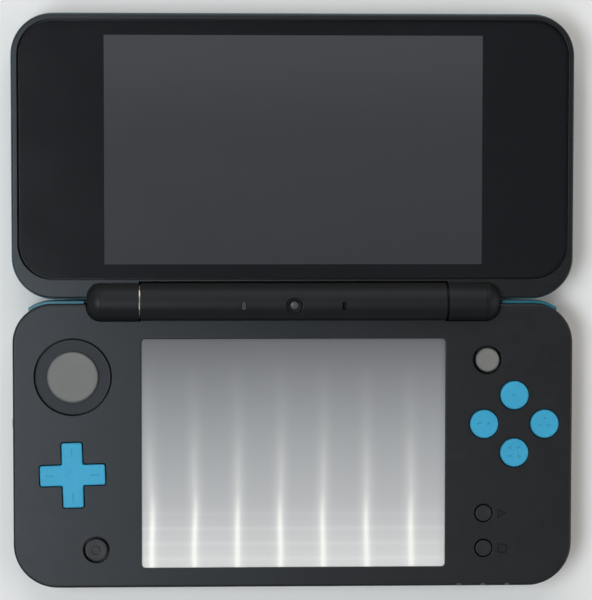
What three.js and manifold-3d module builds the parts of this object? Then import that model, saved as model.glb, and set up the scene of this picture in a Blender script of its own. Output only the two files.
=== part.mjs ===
// Clamshell handheld game console, opened flat. The lid lies along +Y and the base along -Y.
// The hinge axis runs along X above Y = 0. Millimetres, Z up, the feet stand on Z = 0.

import * as THREE from 'three';
import { mergeVertices } from 'three/addons/utils/BufferGeometryUtils.js';
import Module from 'manifold-3d';

const wasm = await Module();
wasm.setup();

// Clearances
const fitGap = 0.1;
const seatGap = 0.15;
const runGap = 0.3;
const cutOver = 1;
const weldTolerance = 0.00001;

// Flat sides that stand for a full turn on large, middling and small round shapes
const fineSides = 28;
const roundSides = 16;
const smallSides = 10;

// Flat sides of a quarter turn on a rounded edge
const edgeSides = 4;

// Base heights, from the table up
const footHeight = 0.5;
const floorWall = 1.2;
const underBoardHeight = 5.4;
const boardThickness = 0.8;
const boardGap = 0.4;
const screenThickness = 2.3;
const touchThickness = 1;
const screenLip = 0.6;
const faceWall = 1.8;
const partingDrop = 0.6;
const closedGap = 0.6;

// Base plan
const lowerScreenWidth = 86;
const lowerScreenDepth = 65;
const lowerScreenRadius = 1;
const screenBorder = 1.8;
const controlStrip = 36.15;
const rearMargin = 9.9;
const frontMargin = 5.6;
const hingeGap = 0.6;
const sideWall = 1.5;
const rearCornerRadius = 11.1;
const frontCornerRadius = 12.5;
const faceBevel = 0.8;
const floorBevel = 2.4;

// Lid
const lidOverhang = 0.35;
const lidCornerRadius = 11.9;
const frameInset = 0.45;
const frameHeight = 3.6;
const frameBevel = 0.6;
const frameRim = 1.55;
const frameHingeRim = 5.6;
const frameLedge = 1.6;
const windowGap = 0.45;
const windowSink = 1.2;
const windowThickness = 0.9;
const lidInnerHeight = 4;
const lidWall = 1;
const coverThickness = 0.7;
const coverRim = 1.6;
const backBevel = 2;
const upperScreenMargin = 4.3;
const upperScreenAspect = 1.656;

// Hinge
const centreBarrelRadius = 5.35;
const barrelBoreRadius = 4.2;
const endBarrelRadius = 5.25;
const barrelSideInset = 21;
const leftSeamInset = 35.85;
const rightSeamInset = 35.85;
const seamGap = 0.5;
const barrelGap = 0.35;
const lidNotchGap = 0.45;
const troughWall = 0.6;
const endCapLength = 4.1;
const endCapRound = 3.9;
const hingePinRadius = 2.6;
const hingePinShare = 0.76;
const hingeBodyLength = 7;
const hingeFlangeInset = 0.35;
const hingeFlangeThickness = 0.2;

// Slide pad
const padPlaceShares = [-0.5315, 0.256];
const padRingRadius = 10.6;
const padRingGap = 0.4;
const padRingThickness = 0.8;
const padDish = 0.5;
const padDishMargin = 1;
const padFootShare = 0.67;
const padFlangeReach = 1.2;
const padFlangeThickness = 0.6;
const padCapRadius = 7.15;
const padCapHeight = 1.5;
const padCapLift = 0.4;
const padCapRound = 0.8;
const padCapHollow = 0.35;
const padCapHollowShare = 0.7;
const padStemRadius = 1.9;
const padSkirtThickness = 0.4;
const padTravel = 2;
const padCarriageThickness = 0.7;
const padWall = 1;

// D-pad
const dpadPlaceShares = [-0.536, 0.6008];
const dpadSpan = 18.3;
const dpadArm = 5.75;
const dpadCornerRadius = 0.7;
const dpadProud = 0.9;
const dpadEdge = 0.35;
const dpadHoleGap = 0.55;
const dpadSlackAngle = 0.028;
const dpadFlangeRadius = 7.2;
const dpadFlangeThickness = 0.6;
const dpadPivotRadius = 3;
const dpadPivotThickness = 0.65;
const dpadPivotGap = 0.25;

// Face buttons
const facePlaceShares = [0.543, 0.4248];
const faceSpreadShares = [0.2379, 0.1015];
const faceButtonRadius = 4;
const faceButtonGap = 0.22;
const faceButtonProud = 0.9;
const faceButtonDish = 0.15;
const faceFlangeReach = 0.7;
const buttonFlangeThickness = 0.5;
const membraneThickness = 0.4;
const domeRadius = 2.4;
const domeTopShare = 0.8;
const domeHeight = 0.2;

// Small round buttons
const homePlaceShares = [-0.354, 0.865];
const startPlaceShares = [0.3037, 0.7412];
const selectPlaceShares = [0.3051, 0.8652];
const homeRadius = 3.1;
const homeGap = 0.65;
const homeFlangeReach = 1;
const optionRadius = 2.25;
const smallButtonGap = 0.35;
const smallButtonProud = 0.3;
const smallFlangeReach = 0.6;

// Soft edge of the buttons and the nub, as a share of how far they stand proud
const edgeShare = 0.33;

// Thumb nub
const nubPlaceShares = [0.3288, 0.1982];
const nubRadius = 3.3;
const nubGap = 0.73;
const nubProud = 1.1;
const nubHeight = 1.5;
const nubStemRadius = 1.7;
const nubRingGap = 0.6;
const nubRingWidth = 1;
const nubRingThickness = 0.6;
const nubBaseThickness = 0.6;
const nubPostWidth = 0.9;

// Shoulder buttons and triggers
const shoulderOutreach = 0.9;
const shoulderSideInset = 4.5;
const shoulderWall = 0.3;
const shoulderDepth = 4.6;
const shoulderHeight = 4;
const shoulderCover = 1.4;
const shoulderSweep = 1.2;
const shoulderPinRadius = 0.8;
const shoulderPinInset = 1.9;
const shoulderPinDepthShare = 0.55;
const triggerWidth = 12;
const triggerOutreach = 0.5;
const triggerLipReach = 0.8;
const triggerLipThickness = 0.8;

// Volume knob and power button
const volumePlaceShare = 0.4224;
const volumeKnobLength = 2.6;
const volumeKnobHeight = 1.4;
const volumeOutreach = 0.35;
const volumeTravel = 5;
const volumeLevelShare = 0.56;
const volumePlateReach = 1.5;
const volumePlateThickness = 0.5;
const powerPlaceShare = 0.52;
const powerWidth = 6;
const powerHeight = 1.8;
const powerSink = 0.1;
const powerLipReach = 0.6;
const powerLipThickness = 0.5;

// Screws, their bosses and the feet
const bossRadius = 1.9;
const floorBossHeight = 1.6;
const bossEdgeInset = 4.6;
const rearBossShare = 0.88;
const rearBossDepthShare = 0.465;
const bossCornerGap = 5;
const screwHeadRadius = 1.5;
const screwHeadHeight = 0.9;
const screwShankRadius = 0.75;
const screwShankLength = 5;
const screwSink = 0.5;
const footRadius = 3;
const footRecess = 0.4;
const footMargin = 0.7;
const footCornerShare = 0.45;

// Card connector and its cover
const cardSlotWidth = 34.4;
const cardSlotDepth = 31;
const cardWall = 1;
const cardFloor = 0.3;
const cardRoof = 0.6;
const coverMargin = 1.3;
const coverThicknessShare = 0.6;
const coverPinRadius = 0.3;
const coverPinLength = 0.7;

// Sockets, stylus, battery, speakers and lights
const jackWidth = 6.4;
const jackDepth = 11;
const jackBoreRadius = 1.75;
const chargeWidth = 10;
const chargeDepth = 7;
const chargeSlotWidth = 7;
const chargeSlotHeight = 3;
const chargeSlotDepth = 5.4;
const chargePlaceShare = -0.15;
const stylusRadius = 2.2;
const stylusLength = 60;
const stylusTipLength = 6;
const stylusTipRadius = 0.8;
const stylusNeckLength = 3;
const stylusNeckDepth = 0.4;
const batteryWidth = 50;
const batteryDepth = 44;
const batteryFrontInset = 6.5;
const batteryRadius = 2;
const speakerWidth = 11;
const speakerDepth = 17;
const speakerHeight = 4;
const speakerConeRadius = 4.2;
const speakerConeDepth = 1.2;
const speakerMargin = 1;
const grilleSlots = 5;
const grilleSlotWidth = 0.9;
const grilleSlotLength = 7;
const grillePitch = 1.9;
const lensWidth = 1.1;
const lensDepth = 1.5;
const lensHeight = 1;
const lensPitch = 6.9;
const lensPlaceShare = 0.681;
const lensEdgeInset = 0.15;
const guideBarDepth = 0.6;
const guideBarHeight = 0.9;

// Pieces in the centre barrel and the outer camera window
const barrelTiltAngle = 0.17;
const cameraRadius = 2.15;
const cameraLength = 3.4;
const cameraSink = 0.2;
const cameraWellRadius = 1.35;
const cameraWellDepth = 0.8;
const cameraLensGap = 0.2;
const cameraLensHeight = 0.5;
const cameraLensCrownShares = [0.7, 0.85];
const barrelFeatureSpan = 14.1;
const indicatorWidth = 1.3;
const indicatorLength = 2.4;
const indicatorRoundShare = 0.4;
const microphoneRadius = 1.7;
const microphoneHeight = 1.4;
const microphoneSlotWidth = 1.1;
const outerCameraWidth = 40;
const outerCameraDepth = 6.4;
const outerCameraSink = 0.2;
const outerCameraInset = 16;
const outerCameraThickness = 0.7;

// Main board
const boardInset = 5.6;
const boardRearInset = 7.6;

// Levels that follow from the heights
const floorZ = footHeight + floorWall;
const boardZ = floorZ + underBoardHeight;
const boardTopZ = boardZ + boardThickness;
const screenZ = boardTopZ + boardGap;
const touchZ = screenZ + screenThickness + fitGap;
const touchTopZ = touchZ + touchThickness;
const faceZ = touchTopZ + fitGap + screenLip;
const underFaceZ = faceZ - faceWall;
const partingZ = boardZ - partingDrop;
const floorTopZ = partingZ - seatGap;
const hingeZ = faceZ + closedGap / 2;
const midUnderBoardZ = (floorZ + boardZ) / 2;
const windowTopZ = faceZ - windowSink;
const windowZ = windowTopZ - windowThickness;
const lidCavityZ = windowZ - lidInnerHeight;
const lidBackZ = lidCavityZ - lidWall - coverThickness;
const framePartZ = faceZ - frameHeight;
const screwTipZ = footHeight + screwSink + screwHeadHeight + screwShankLength;

// Plan places that follow from the plan sizes
const baseHalfWidth = lowerScreenWidth / 2 + controlStrip;
const halfDepth = rearMargin + lowerScreenDepth + frontMargin;
const lidHalfWidth = baseHalfWidth + lidOverhang;
const endBarrelReach = baseHalfWidth - barrelSideInset;
const leftSeam = baseHalfWidth - leftSeamInset;
const rightSeam = baseHalfWidth - rightSeamInset;
const rearY = -hingeGap;
const frontY = rearY - halfDepth;
const screenMidY = rearY - rearMargin - lowerScreenDepth / 2;
const lidFarY = hingeGap + halfDepth;
const endTroughRadius = endBarrelRadius + barrelGap;
const endTroughReach = endBarrelReach + barrelGap;
const frontBossX = baseHalfWidth - frontCornerRadius - bossCornerGap;
const rearBossX = leftSeam * rearBossShare;
const rearBossY = rearY - rearMargin * rearBossDepthShare;
const placeFromShares = ([across, along]) => [
  Math.sign(across) * (lowerScreenWidth / 2) + across * controlStrip,
  rearY - along * halfDepth,
];
const [padX, padY] = placeFromShares(padPlaceShares);
const [dpadX, dpadY] = placeFromShares(dpadPlaceShares);
const [faceX, faceY] = placeFromShares(facePlaceShares);
const [homeX, homeY] = placeFromShares(homePlaceShares);
const [startX, startY] = placeFromShares(startPlaceShares);
const [selectX, selectY] = placeFromShares(selectPlaceShares);
const [nubX, nubY] = placeFromShares(nubPlaceShares);

// Finishes
const finish = (color, roughness, metalness = 0) =>
  new THREE.MeshStandardMaterial({ color, roughness, metalness });
const shellBlack = finish(0x2f3033, 0.6);
const turquoise = finish(0x3b9aae, 0.4);
const glossBlack = finish(0x1c1d1f, 0.12);
const buttonBlue = finish(0x42a5cf, 0.45);
const padGrey = finish(0x777875, 0.7);
const rubberBlack = finish(0x202123, 0.85);
const smallBlack = finish(0x2b2b2c, 0.5);
const screenSilver = finish(0x96999e, 0.2);
const screenGrey = finish(0x444447, 0.15);
const boardGreen = finish(0x2a4a38, 0.6);
const cellGrey = finish(0x55585c, 0.5);
const steel = finish(0xb8b4a8, 0.3, 1);
const moduleGrey = finish(0x3a3b3d, 0.5);
const clearLens = finish(0x8c9094, 0.15);

// Solids: a closed geometry becomes a solid that can be joined and cut
function solid(geometry) {
  const bare = geometry.clone();
  bare.deleteAttribute('normal');
  bare.deleteAttribute('uv');
  const merged = mergeVertices(bare, weldTolerance);
  const points = merged.attributes.position;
  const triangles = [];
  let volume = 0;
  const [a, b, c] = [new THREE.Vector3(), new THREE.Vector3(), new THREE.Vector3()];
  for (let i = 0; i < merged.index.count; i += 3) {
    const corners = [merged.index.getX(i), merged.index.getX(i + 1), merged.index.getX(i + 2)];
    if (new Set(corners).size < 3) continue;
    a.fromBufferAttribute(points, corners[0]);
    b.fromBufferAttribute(points, corners[1]);
    c.fromBufferAttribute(points, corners[2]);
    volume += a.dot(b.cross(c));
    triangles.push(corners);
  }
  const outward = volume < 0 ? triangles.map(([p, q, r]) => [p, r, q]) : triangles;
  return new wasm.Manifold(new wasm.Mesh({
    numProp: 3,
    vertProperties: new Float32Array(points.array),
    triVerts: new Uint32Array(outward.flat()),
  }));
}

function geometryOf(body) {
  const mesh = body.getMesh();
  const geometry = new THREE.BufferGeometry();
  geometry.setAttribute('position', new THREE.BufferAttribute(new Float32Array(mesh.vertProperties), 3));
  geometry.setIndex(new THREE.BufferAttribute(new Uint32Array(mesh.triVerts), 1));
  geometry.computeVertexNormals();
  return geometry;
}

const cut = (body, tools) => tools.reduce((rest, tool) => rest.subtract(tool), body);
const join = (body, others) => others.reduce((whole, other) => whole.add(other), body);

function block(x0, x1, y0, y1, z0, z1) {
  const geometry = new THREE.BoxGeometry(x1 - x0, y1 - y0, z1 - z0);
  return solid(geometry.translate((x0 + x1) / 2, (y0 + y1) / 2, (z0 + z1) / 2));
}

const blockAt = (x, y, width, depth, z0, z1) =>
  block(x - width / 2, x + width / 2, y - depth / 2, y + depth / 2, z0, z1);

// A rod along x, y or z, from one place to the other, about the centre given in the other two directions
function rod(axis, radius, from, to, centre, sides = roundSides) {
  const geometry = new THREE.CylinderGeometry(radius, radius, to - from, sides);
  const middle = (from + to) / 2;
  if (axis === 'x') geometry.rotateZ(Math.PI / 2).translate(middle, centre[0], centre[1]);
  if (axis === 'y') geometry.translate(centre[0], middle, centre[1]);
  if (axis === 'z') geometry.rotateX(Math.PI / 2).translate(centre[0], centre[1], middle);
  return solid(geometry);
}

function roundedOutline(x0, x1, y0, y1, lowRadius, highRadius = lowRadius) {
  const shape = new THREE.Shape();
  shape.moveTo(x0 + lowRadius, y0);
  shape.lineTo(x1 - lowRadius, y0);
  shape.absarc(x1 - lowRadius, y0 + lowRadius, lowRadius, -Math.PI / 2, 0);
  shape.lineTo(x1, y1 - highRadius);
  shape.absarc(x1 - highRadius, y1 - highRadius, highRadius, 0, Math.PI / 2);
  shape.lineTo(x0 + highRadius, y1);
  shape.absarc(x0 + highRadius, y1 - highRadius, highRadius, Math.PI / 2, Math.PI);
  shape.lineTo(x0, y0 + lowRadius);
  shape.absarc(x0 + lowRadius, y0 + lowRadius, lowRadius, Math.PI, Math.PI * 1.5);
  return shape;
}

const centredOutline = (x, y, width, depth, radius) =>
  roundedOutline(x - width / 2, x + width / 2, y - depth / 2, y + depth / 2, radius);

const extruded = (shape, depth, curveSegments) =>
  new THREE.ExtrudeGeometry(shape, { depth, bevelEnabled: false, curveSegments });

const prism = (shape, z0, z1, curveSegments = 4) =>
  solid(extruded(shape, z1 - z0, curveSegments).translate(0, 0, z0));

function roundedSlab(shape, z0, z1, bevel, bevelSegments = 3, curveSegments = 4) {
  const geometry = new THREE.ExtrudeGeometry(shape, {
    depth: z1 - z0 - 2 * bevel,
    bevelThickness: bevel,
    bevelSize: bevel,
    bevelOffset: -bevel,
    bevelSegments,
    curveSegments,
  });
  return solid(geometry.translate(0, 0, z0 + bevel));
}

// A turned piece: its profile is given as pairs of radius and height
function turned(profile, sides = roundSides) {
  const geometry = new THREE.LatheGeometry(profile.map(([r, z]) => new THREE.Vector2(r, z)), sides);
  return solid(geometry.rotateX(Math.PI / 2));
}

// Profile points of a rounded edge, from its outer side up to its top, about the centre given
function quarterRound(centreRadius, centreZ, round) {
  return Array.from({ length: edgeSides + 1 }, (_, i) => {
    const angle = (i / edgeSides) * (Math.PI / 2);
    return [centreRadius + round * Math.cos(angle), centreZ + round * Math.sin(angle)];
  });
}

// The same shape, turned to face along the tilt of the centre barrel's camera
function tiltedGeometry(geometry) {
  return geometry.rotateX(barrelTiltAngle).translate(0, 0, hingeZ);
}

const root = new THREE.Group();
const baseGroup = new THREE.Group();
const lidGroup = new THREE.Group();
root.add(baseGroup, lidGroup);

function addPiece(parent, name, material, body, x = 0, y = 0, z = 0) {
  const mesh = new THREE.Mesh(geometryOf(body), material);
  mesh.name = name;
  mesh.position.set(x, y, z);
  parent.add(mesh);
  return mesh;
}

// Outlines of the two halves, moved inwards by an inset
function baseOutline(inset = 0) {
  const half = baseHalfWidth - inset;
  const front = frontCornerRadius - inset;
  const rear = rearCornerRadius - inset;
  return roundedOutline(-half, half, frontY + inset, rearY - inset, front, rear);
}

function lidOutline(inset = 0, hingeInset = inset) {
  const half = lidHalfWidth - inset;
  return roundedOutline(-half, half, hingeGap + hingeInset, lidFarY - inset, lidCornerRadius - inset);
}

const screenOutline = (grow, radius) =>
  centredOutline(0, screenMidY, lowerScreenWidth + 2 * grow, lowerScreenDepth + 2 * grow, radius);

const baseEnvelope = () => roundedSlab(baseOutline(), footHeight, faceZ, faceBevel);

// A block over the whole plan of the opened console, for trimming a slab at a level
const planBlock = (z0, z1) =>
  block(-lidHalfWidth - cutOver, lidHalfWidth + cutOver, frontY - cutOver, lidFarY + cutOver, z0, z1);

// Hinge shapes that both halves share, about the axis at its y and z
const hingeAxis = [0, hingeZ];
const endBarrelSpans = [
  [-endBarrelReach, -leftSeam - seamGap / 2],
  [rightSeam + seamGap / 2, endBarrelReach],
];
const centreBarrelSpan = [-leftSeam + seamGap / 2, rightSeam - seamGap / 2];

// Room for an end barrel and its rounded cap, wider by a gap, from an inner place along x outwards
function barrelRoom(side, innerX, gap) {
  const length = endBarrelReach + gap - innerX;
  const round = endCapRound + gap;
  const arc = quarterRound(endBarrelRadius - endCapRound, length - round, round);
  return turned([[0, 0], [endBarrelRadius + gap, 0], ...arc, [0, length]], fineSides)
    .rotate([0, side * 90, 0])
    .translate([side * innerX, 0, hingeZ]);
}

const endTroughs = () => [
  barrelRoom(-1, leftSeam - seamGap / 2, barrelGap),
  barrelRoom(1, rightSeam - seamGap / 2, barrelGap),
];

// Places of the screws, as pairs of x and y
const screwPlaces = [
  [-rearBossX, rearBossY],
  [rearBossX, rearBossY],
  [-frontBossX, frontY + bossEdgeInset],
  [frontBossX, frontY + bossEdgeInset],
];

// Front edge: card slot, headphone socket and stylus follow each other from the left screw boss
const cardLeftX = -frontBossX + bossRadius + fitGap * 2;
const cardSlotLeftX = cardLeftX + cardWall;
const cardSlotRightX = cardSlotLeftX + cardSlotWidth;
const cardRightX = cardSlotRightX + cardWall;
const cardSlotZ = floorZ + fitGap + cardFloor;
const cardSlotTopZ = boardZ - fitGap - cardRoof;
const cardFrontY = frontY + sideWall + fitGap;
const coverFlapThickness = sideWall * coverThicknessShare;
const coverFlapZ = floorZ + fitGap;
const coverFlapTopZ = boardZ - seatGap;
const coverAxisY = frontY + coverFlapThickness / 2;
const coverAxisZ = coverFlapZ + coverFlapThickness / 2;
const coverAxis = [coverAxisY, coverAxisZ];
const coverLeftX = cardSlotLeftX - coverMargin;
const coverRightX = cardSlotRightX + coverMargin;
const jackX = coverRightX + runGap + coverPinLength + jackWidth / 2;
const stylusX = frontBossX - bossRadius - runGap - stylusRadius - runGap;
const speakerX = baseHalfWidth - sideWall - speakerMargin - speakerWidth / 2;
const speakerY = frontY + frontCornerRadius + speakerMargin + speakerDepth / 2;
const powerX = lowerScreenWidth / 2 * powerPlaceShare;
const powerZ = (partingZ + underFaceZ) / 2;
const chargeX = baseHalfWidth * chargePlaceShare;
const triggerX = (leftSeam + endBarrelReach) / 2;
const triggerZ = footHeight + floorBevel;
const triggerTopZ = floorTopZ - runGap;
const volumeY = rearY - volumePlaceShare * halfDepth;
const volumeZ = partingZ + (underFaceZ - partingZ) * volumeLevelShare;
const lensMidX = baseHalfWidth * lensPlaceShare;
const lensMiddles = [lensMidX - lensPitch, lensMidX, lensMidX + lensPitch];
const shoulderTopZ = faceZ - shoulderCover;
const shoulderZ = shoulderTopZ - shoulderHeight;
const shoulderInnerX = endTroughReach + shoulderWall + runGap;
const shoulderOuterX = baseHalfWidth - shoulderSideInset;
const shoulderRearY = rearY - shoulderDepth;

// Openings that the side walls have, through whichever shell they meet
function wallOpenings() {
  const wallFront = frontY - cutOver;
  const wallFrontInner = frontY + sideWall + cutOver;
  const flapRecessY = frontY + coverFlapThickness + seatGap;
  const flapCornerRadius = coverFlapThickness * Math.SQRT1_2 + seatGap;
  const [recessLeftX, recessRightX] = [coverLeftX - seatGap, coverRightX + seatGap];
  return [
    block(cardSlotLeftX, cardSlotRightX, wallFront, wallFrontInner, cardSlotZ, cardSlotTopZ),
    block(recessLeftX, recessRightX, wallFront, flapRecessY, coverAxisZ, coverFlapTopZ + seatGap),
    block(recessLeftX, recessRightX, wallFront, coverAxisY, coverFlapZ - seatGap, coverAxisZ),
    rod('x', flapCornerRadius, recessLeftX, recessRightX, coverAxis, smallSides),
    rod('x', coverPinRadius + seatGap, recessLeftX - coverPinLength, recessRightX + coverPinLength, coverAxis,
      smallSides),
    rod('y', jackBoreRadius + seatGap, wallFront, wallFrontInner, [jackX, midUnderBoardZ]),
    rod('y', stylusRadius + runGap, wallFront, wallFrontInner, [stylusX, midUnderBoardZ]),
    block(chargeX - chargeSlotWidth / 2 - seatGap, chargeX + chargeSlotWidth / 2 + seatGap,
      rearY - sideWall - cutOver, rearY + cutOver,
      midUnderBoardZ - chargeSlotHeight / 2 - seatGap, midUnderBoardZ + chargeSlotHeight / 2 + seatGap),
  ];
}

// The face button places, from the cluster's centre
const facePlaces = {
  top: [0, 1],
  left: [-1, 0],
  right: [1, 0],
  bottom: [0, -1],
};
const faceSpreadX = faceSpreadShares[0] * controlStrip;
const faceSpreadY = faceSpreadShares[1] * halfDepth;
const facePlace = ([across, along]) => [faceX + across * faceSpreadX, faceY + along * faceSpreadY];

function crossOutline(span, arm, radius) {
  const wide = roundedOutline(-span / 2, span / 2, -arm / 2, arm / 2, radius);
  const tall = roundedOutline(-arm / 2, arm / 2, -span / 2, span / 2, radius);
  return [wide, tall];
}

function crossPrism(span, arm, radius, z0, z1) {
  const [wide, tall] = crossOutline(span, arm, radius);
  return prism(wide, z0, z1, 1).add(prism(tall, z0, z1, 1));
}

// Holes for the controls on the base's face
function controlHoles() {
  const from = underFaceZ - cutOver;
  const to = faceZ + cutOver;
  const round = (x, y, radius, sides) => rod('z', radius, from, to, [x, y], sides);
  const [wide, tall] = crossOutline(dpadSpan + 2 * dpadHoleGap, dpadArm + 2 * dpadHoleGap,
    dpadCornerRadius + dpadHoleGap);
  const crossHole = (shape) => solid(extruded(shape, to - from, 1).translate(dpadX, dpadY, from));
  return [
    round(padX, padY, padRingRadius + padRingGap, fineSides),
    crossHole(wide),
    crossHole(tall),
    ...Object.values(facePlaces).map((place) => {
      const [x, y] = facePlace(place);
      return round(x, y, faceButtonRadius + faceButtonGap, roundSides);
    }),
    round(homeX, homeY, homeRadius + homeGap, roundSides),
    round(startX, startY, optionRadius + smallButtonGap, roundSides),
    round(selectX, selectY, optionRadius + smallButtonGap, roundSides),
    round(nubX, nubY, nubRadius + nubGap, roundSides),
  ];
}

// Openings in the centre barrel for the indicator, the camera and the microphone
function barrelOpenings() {
  const from = barrelBoreRadius - cutOver;
  const to = centreBarrelRadius + cutOver;
  const slot = (x, width, length) => {
    const shape = centredOutline(x, 0, width, length, width * indicatorRoundShare);
    return solid(tiltedGeometry(extruded(shape, to - from, 2).translate(0, 0, from)));
  };
  const eye = new THREE.CylinderGeometry(cameraRadius + fitGap, cameraRadius + fitGap, to - from, roundSides);
  eye.rotateX(Math.PI / 2).translate(0, 0, (from + to) / 2);
  return [
    slot(-barrelFeatureSpan, indicatorWidth + 2 * fitGap, indicatorLength + 2 * fitGap),
    solid(tiltedGeometry(eye)),
    slot(barrelFeatureSpan, microphoneSlotWidth, indicatorLength),
  ];
}

// Pocket around a shoulder button, as large as its press sweeps
function shoulderPocket(side) {
  const inner = shoulderInnerX - runGap;
  const outer = shoulderOuterX + runGap;
  const [x0, x1] = side < 0 ? [-outer, -inner] : [inner, outer];
  return block(x0, x1, shoulderRearY - shoulderSweep, rearY + cutOver, shoulderZ - runGap,
    shoulderTopZ + runGap);
}

const shoulderPinPlace = (side) => [
  side * (shoulderInnerX + shoulderPinInset),
  rearY - shoulderDepth * shoulderPinDepthShare,
];

function volumeOpening() {
  const half = volumeKnobLength / 2 + runGap;
  return block(-baseHalfWidth - cutOver, -baseHalfWidth + sideWall + cutOver,
    volumeY - volumeTravel - half, volumeY + half,
    volumeZ - volumeKnobHeight / 2 - runGap, volumeZ + volumeKnobHeight / 2 + runGap);
}

function powerOpening() {
  return block(powerX - powerWidth / 2 - runGap, powerX + powerWidth / 2 + runGap,
    frontY - cutOver, frontY + sideWall + cutOver,
    powerZ - powerHeight / 2 - runGap, powerZ + powerHeight / 2 + runGap);
}

// One light post: a lens in the front bevel on a stem that comes up through the face wall
function lensPost(x, grow) {
  const lensFrontY = frontY + lensEdgeInset;
  const lensRearY = frontY + lensEdgeInset + lensDepth;
  const barRearY = frontY + sideWall + seatGap + guideBarDepth;
  const half = lensWidth / 2 + grow;
  const lensZ = faceZ - lensHeight - grow;
  const lens = block(x - half, x + half, lensFrontY - grow, lensRearY + grow, lensZ, faceZ);
  const stem = block(x - half, x + half, lensRearY - guideBarDepth / 2 - grow, barRearY + grow,
    underFaceZ - seatGap - guideBarHeight / 2, faceZ - lensHeight + grow / 2);
  return [lens, stem];
}

function baseTopShell() {
  const shell = roundedSlab(baseOutline(), partingZ - faceBevel - cutOver, faceZ, faceBevel);
  const below = planBlock(partingZ - faceBevel - 2 * cutOver, partingZ);
  const cavity = prism(baseOutline(sideWall), partingZ - cutOver, underFaceZ);
  const troughDepth = endTroughRadius + troughWall;
  const troughBlocks = [-1, 1].map((side) => {
    const seam = side < 0 ? leftSeam : rightSeam;
    const reach = [side * (seam - seamGap / 2), side * (endTroughReach + troughWall)];
    return block(Math.min(...reach), Math.max(...reach), -troughDepth, rearY - sideWall / 2, partingZ,
      underFaceZ + faceWall / 2);
  });
  const bosses = screwPlaces.map((place) =>
    rod('z', bossRadius, floorZ + floorBossHeight + seatGap, underFaceZ + faceWall / 2, place));
  const bores = screwPlaces.map((place) =>
    rod('z', screwShankRadius + runGap, floorZ, screwTipZ + 2 * runGap, place, smallSides));
  const barrel = rod('x', centreBarrelRadius, ...centreBarrelSpan, hingeAxis, fineSides);
  const [barrelLeftX, barrelRightX] = centreBarrelSpan;
  const bore = rod('x', barrelBoreRadius, barrelLeftX - cutOver, barrelRightX + cutOver, hingeAxis);
  const opening = prism(screenOutline(0, lowerScreenRadius), underFaceZ - cutOver, faceZ + cutOver);
  const pocket = prism(screenOutline(screenBorder + seatGap, lowerScreenRadius), underFaceZ - cutOver,
    touchTopZ + fitGap);
  const lenses = lensMiddles.flatMap((x) => lensPost(x, seatGap));
  const pins = [-1, 1].map((side) =>
    rod('z', shoulderPinRadius, shoulderZ, shoulderTopZ + 2 * runGap, shoulderPinPlace(side), smallSides));
  const hollow = join(cut(shell, [below, cavity]), [...troughBlocks, ...bosses]);
  const withBarrel = cut(hollow, endTroughs()).add(barrel);
  const opened = cut(withBarrel, [bore, opening, pocket, ...bores, ...controlHoles(), ...barrelOpenings(),
    ...wallOpenings(), shoulderPocket(-1), shoulderPocket(1), volumeOpening(), powerOpening(), ...lenses]);
  return join(opened, pins);
}

// Slots of one speaker grille, across the speaker's middle
function grilleOpenings(side) {
  return Array.from({ length: grilleSlots }, (_, i) => {
    const y = speakerY + (i - (grilleSlots - 1) / 2) * grillePitch;
    return blockAt(side * speakerX, y, grilleSlotLength, grilleSlotWidth, footHeight - cutOver,
      floorZ + cutOver);
  });
}

function triggerPocket(side) {
  const half = triggerWidth / 2 + runGap;
  return blockAt(side * triggerX, rearY, 2 * half, 2 * (sideWall + cutOver), triggerZ - runGap,
    floorTopZ + cutOver);
}

const footPlaces = [-1, 1].flatMap((side) => [
  [side * (baseHalfWidth - rearCornerRadius - footCornerShare * footRadius),
    rearY - floorBevel - footRadius - footMargin],
  [side * (baseHalfWidth - frontCornerRadius - footCornerShare * footRadius),
    frontY + floorBevel + footRadius + bossEdgeInset + footMargin],
]);

function baseBottomShell() {
  const shell = roundedSlab(baseOutline(), footHeight, floorTopZ + floorBevel + cutOver, floorBevel);
  const above = planBlock(floorTopZ, floorTopZ + floorBevel + 2 * cutOver);
  const cavity = prism(baseOutline(sideWall), floorZ, floorTopZ + cutOver);
  const bosses = screwPlaces.map((place) =>
    rod('z', bossRadius, floorZ - floorWall / 2, floorZ + floorBossHeight, place));
  const headWellTopZ = footHeight + screwSink + screwHeadHeight + fitGap;
  const headWells = screwPlaces.map((place) =>
    rod('z', screwHeadRadius + seatGap, footHeight - cutOver, headWellTopZ, place, smallSides));
  const shankHoles = screwPlaces.map((place) =>
    rod('z', screwShankRadius + seatGap, footHeight, floorZ + floorBossHeight + cutOver, place, smallSides));
  const footWells = footPlaces.map((place) =>
    rod('z', footRadius + seatGap, footHeight - cutOver, footHeight + footRecess, place));
  const window = prism(centredOutline(0, rearY - outerCameraInset, outerCameraWidth + 2 * seatGap,
    outerCameraDepth + 2 * seatGap, outerCameraDepth / 2), footHeight - cutOver,
  footHeight + outerCameraSink + outerCameraThickness + fitGap);
  const hollow = join(cut(shell, [above, cavity]), bosses);
  const grilles = [...grilleOpenings(-1), ...grilleOpenings(1)];
  return cut(hollow, [...headWells, ...shankHoles, ...footWells, window, ...grilles, triggerPocket(-1),
    triggerPocket(1), shoulderPocket(-1), shoulderPocket(1), ...wallOpenings(), ...endTroughs()]);
}

// Lid
const frameOutline = (inset, hingeInset) => lidOutline(frameInset + inset, hingeInset);

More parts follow.
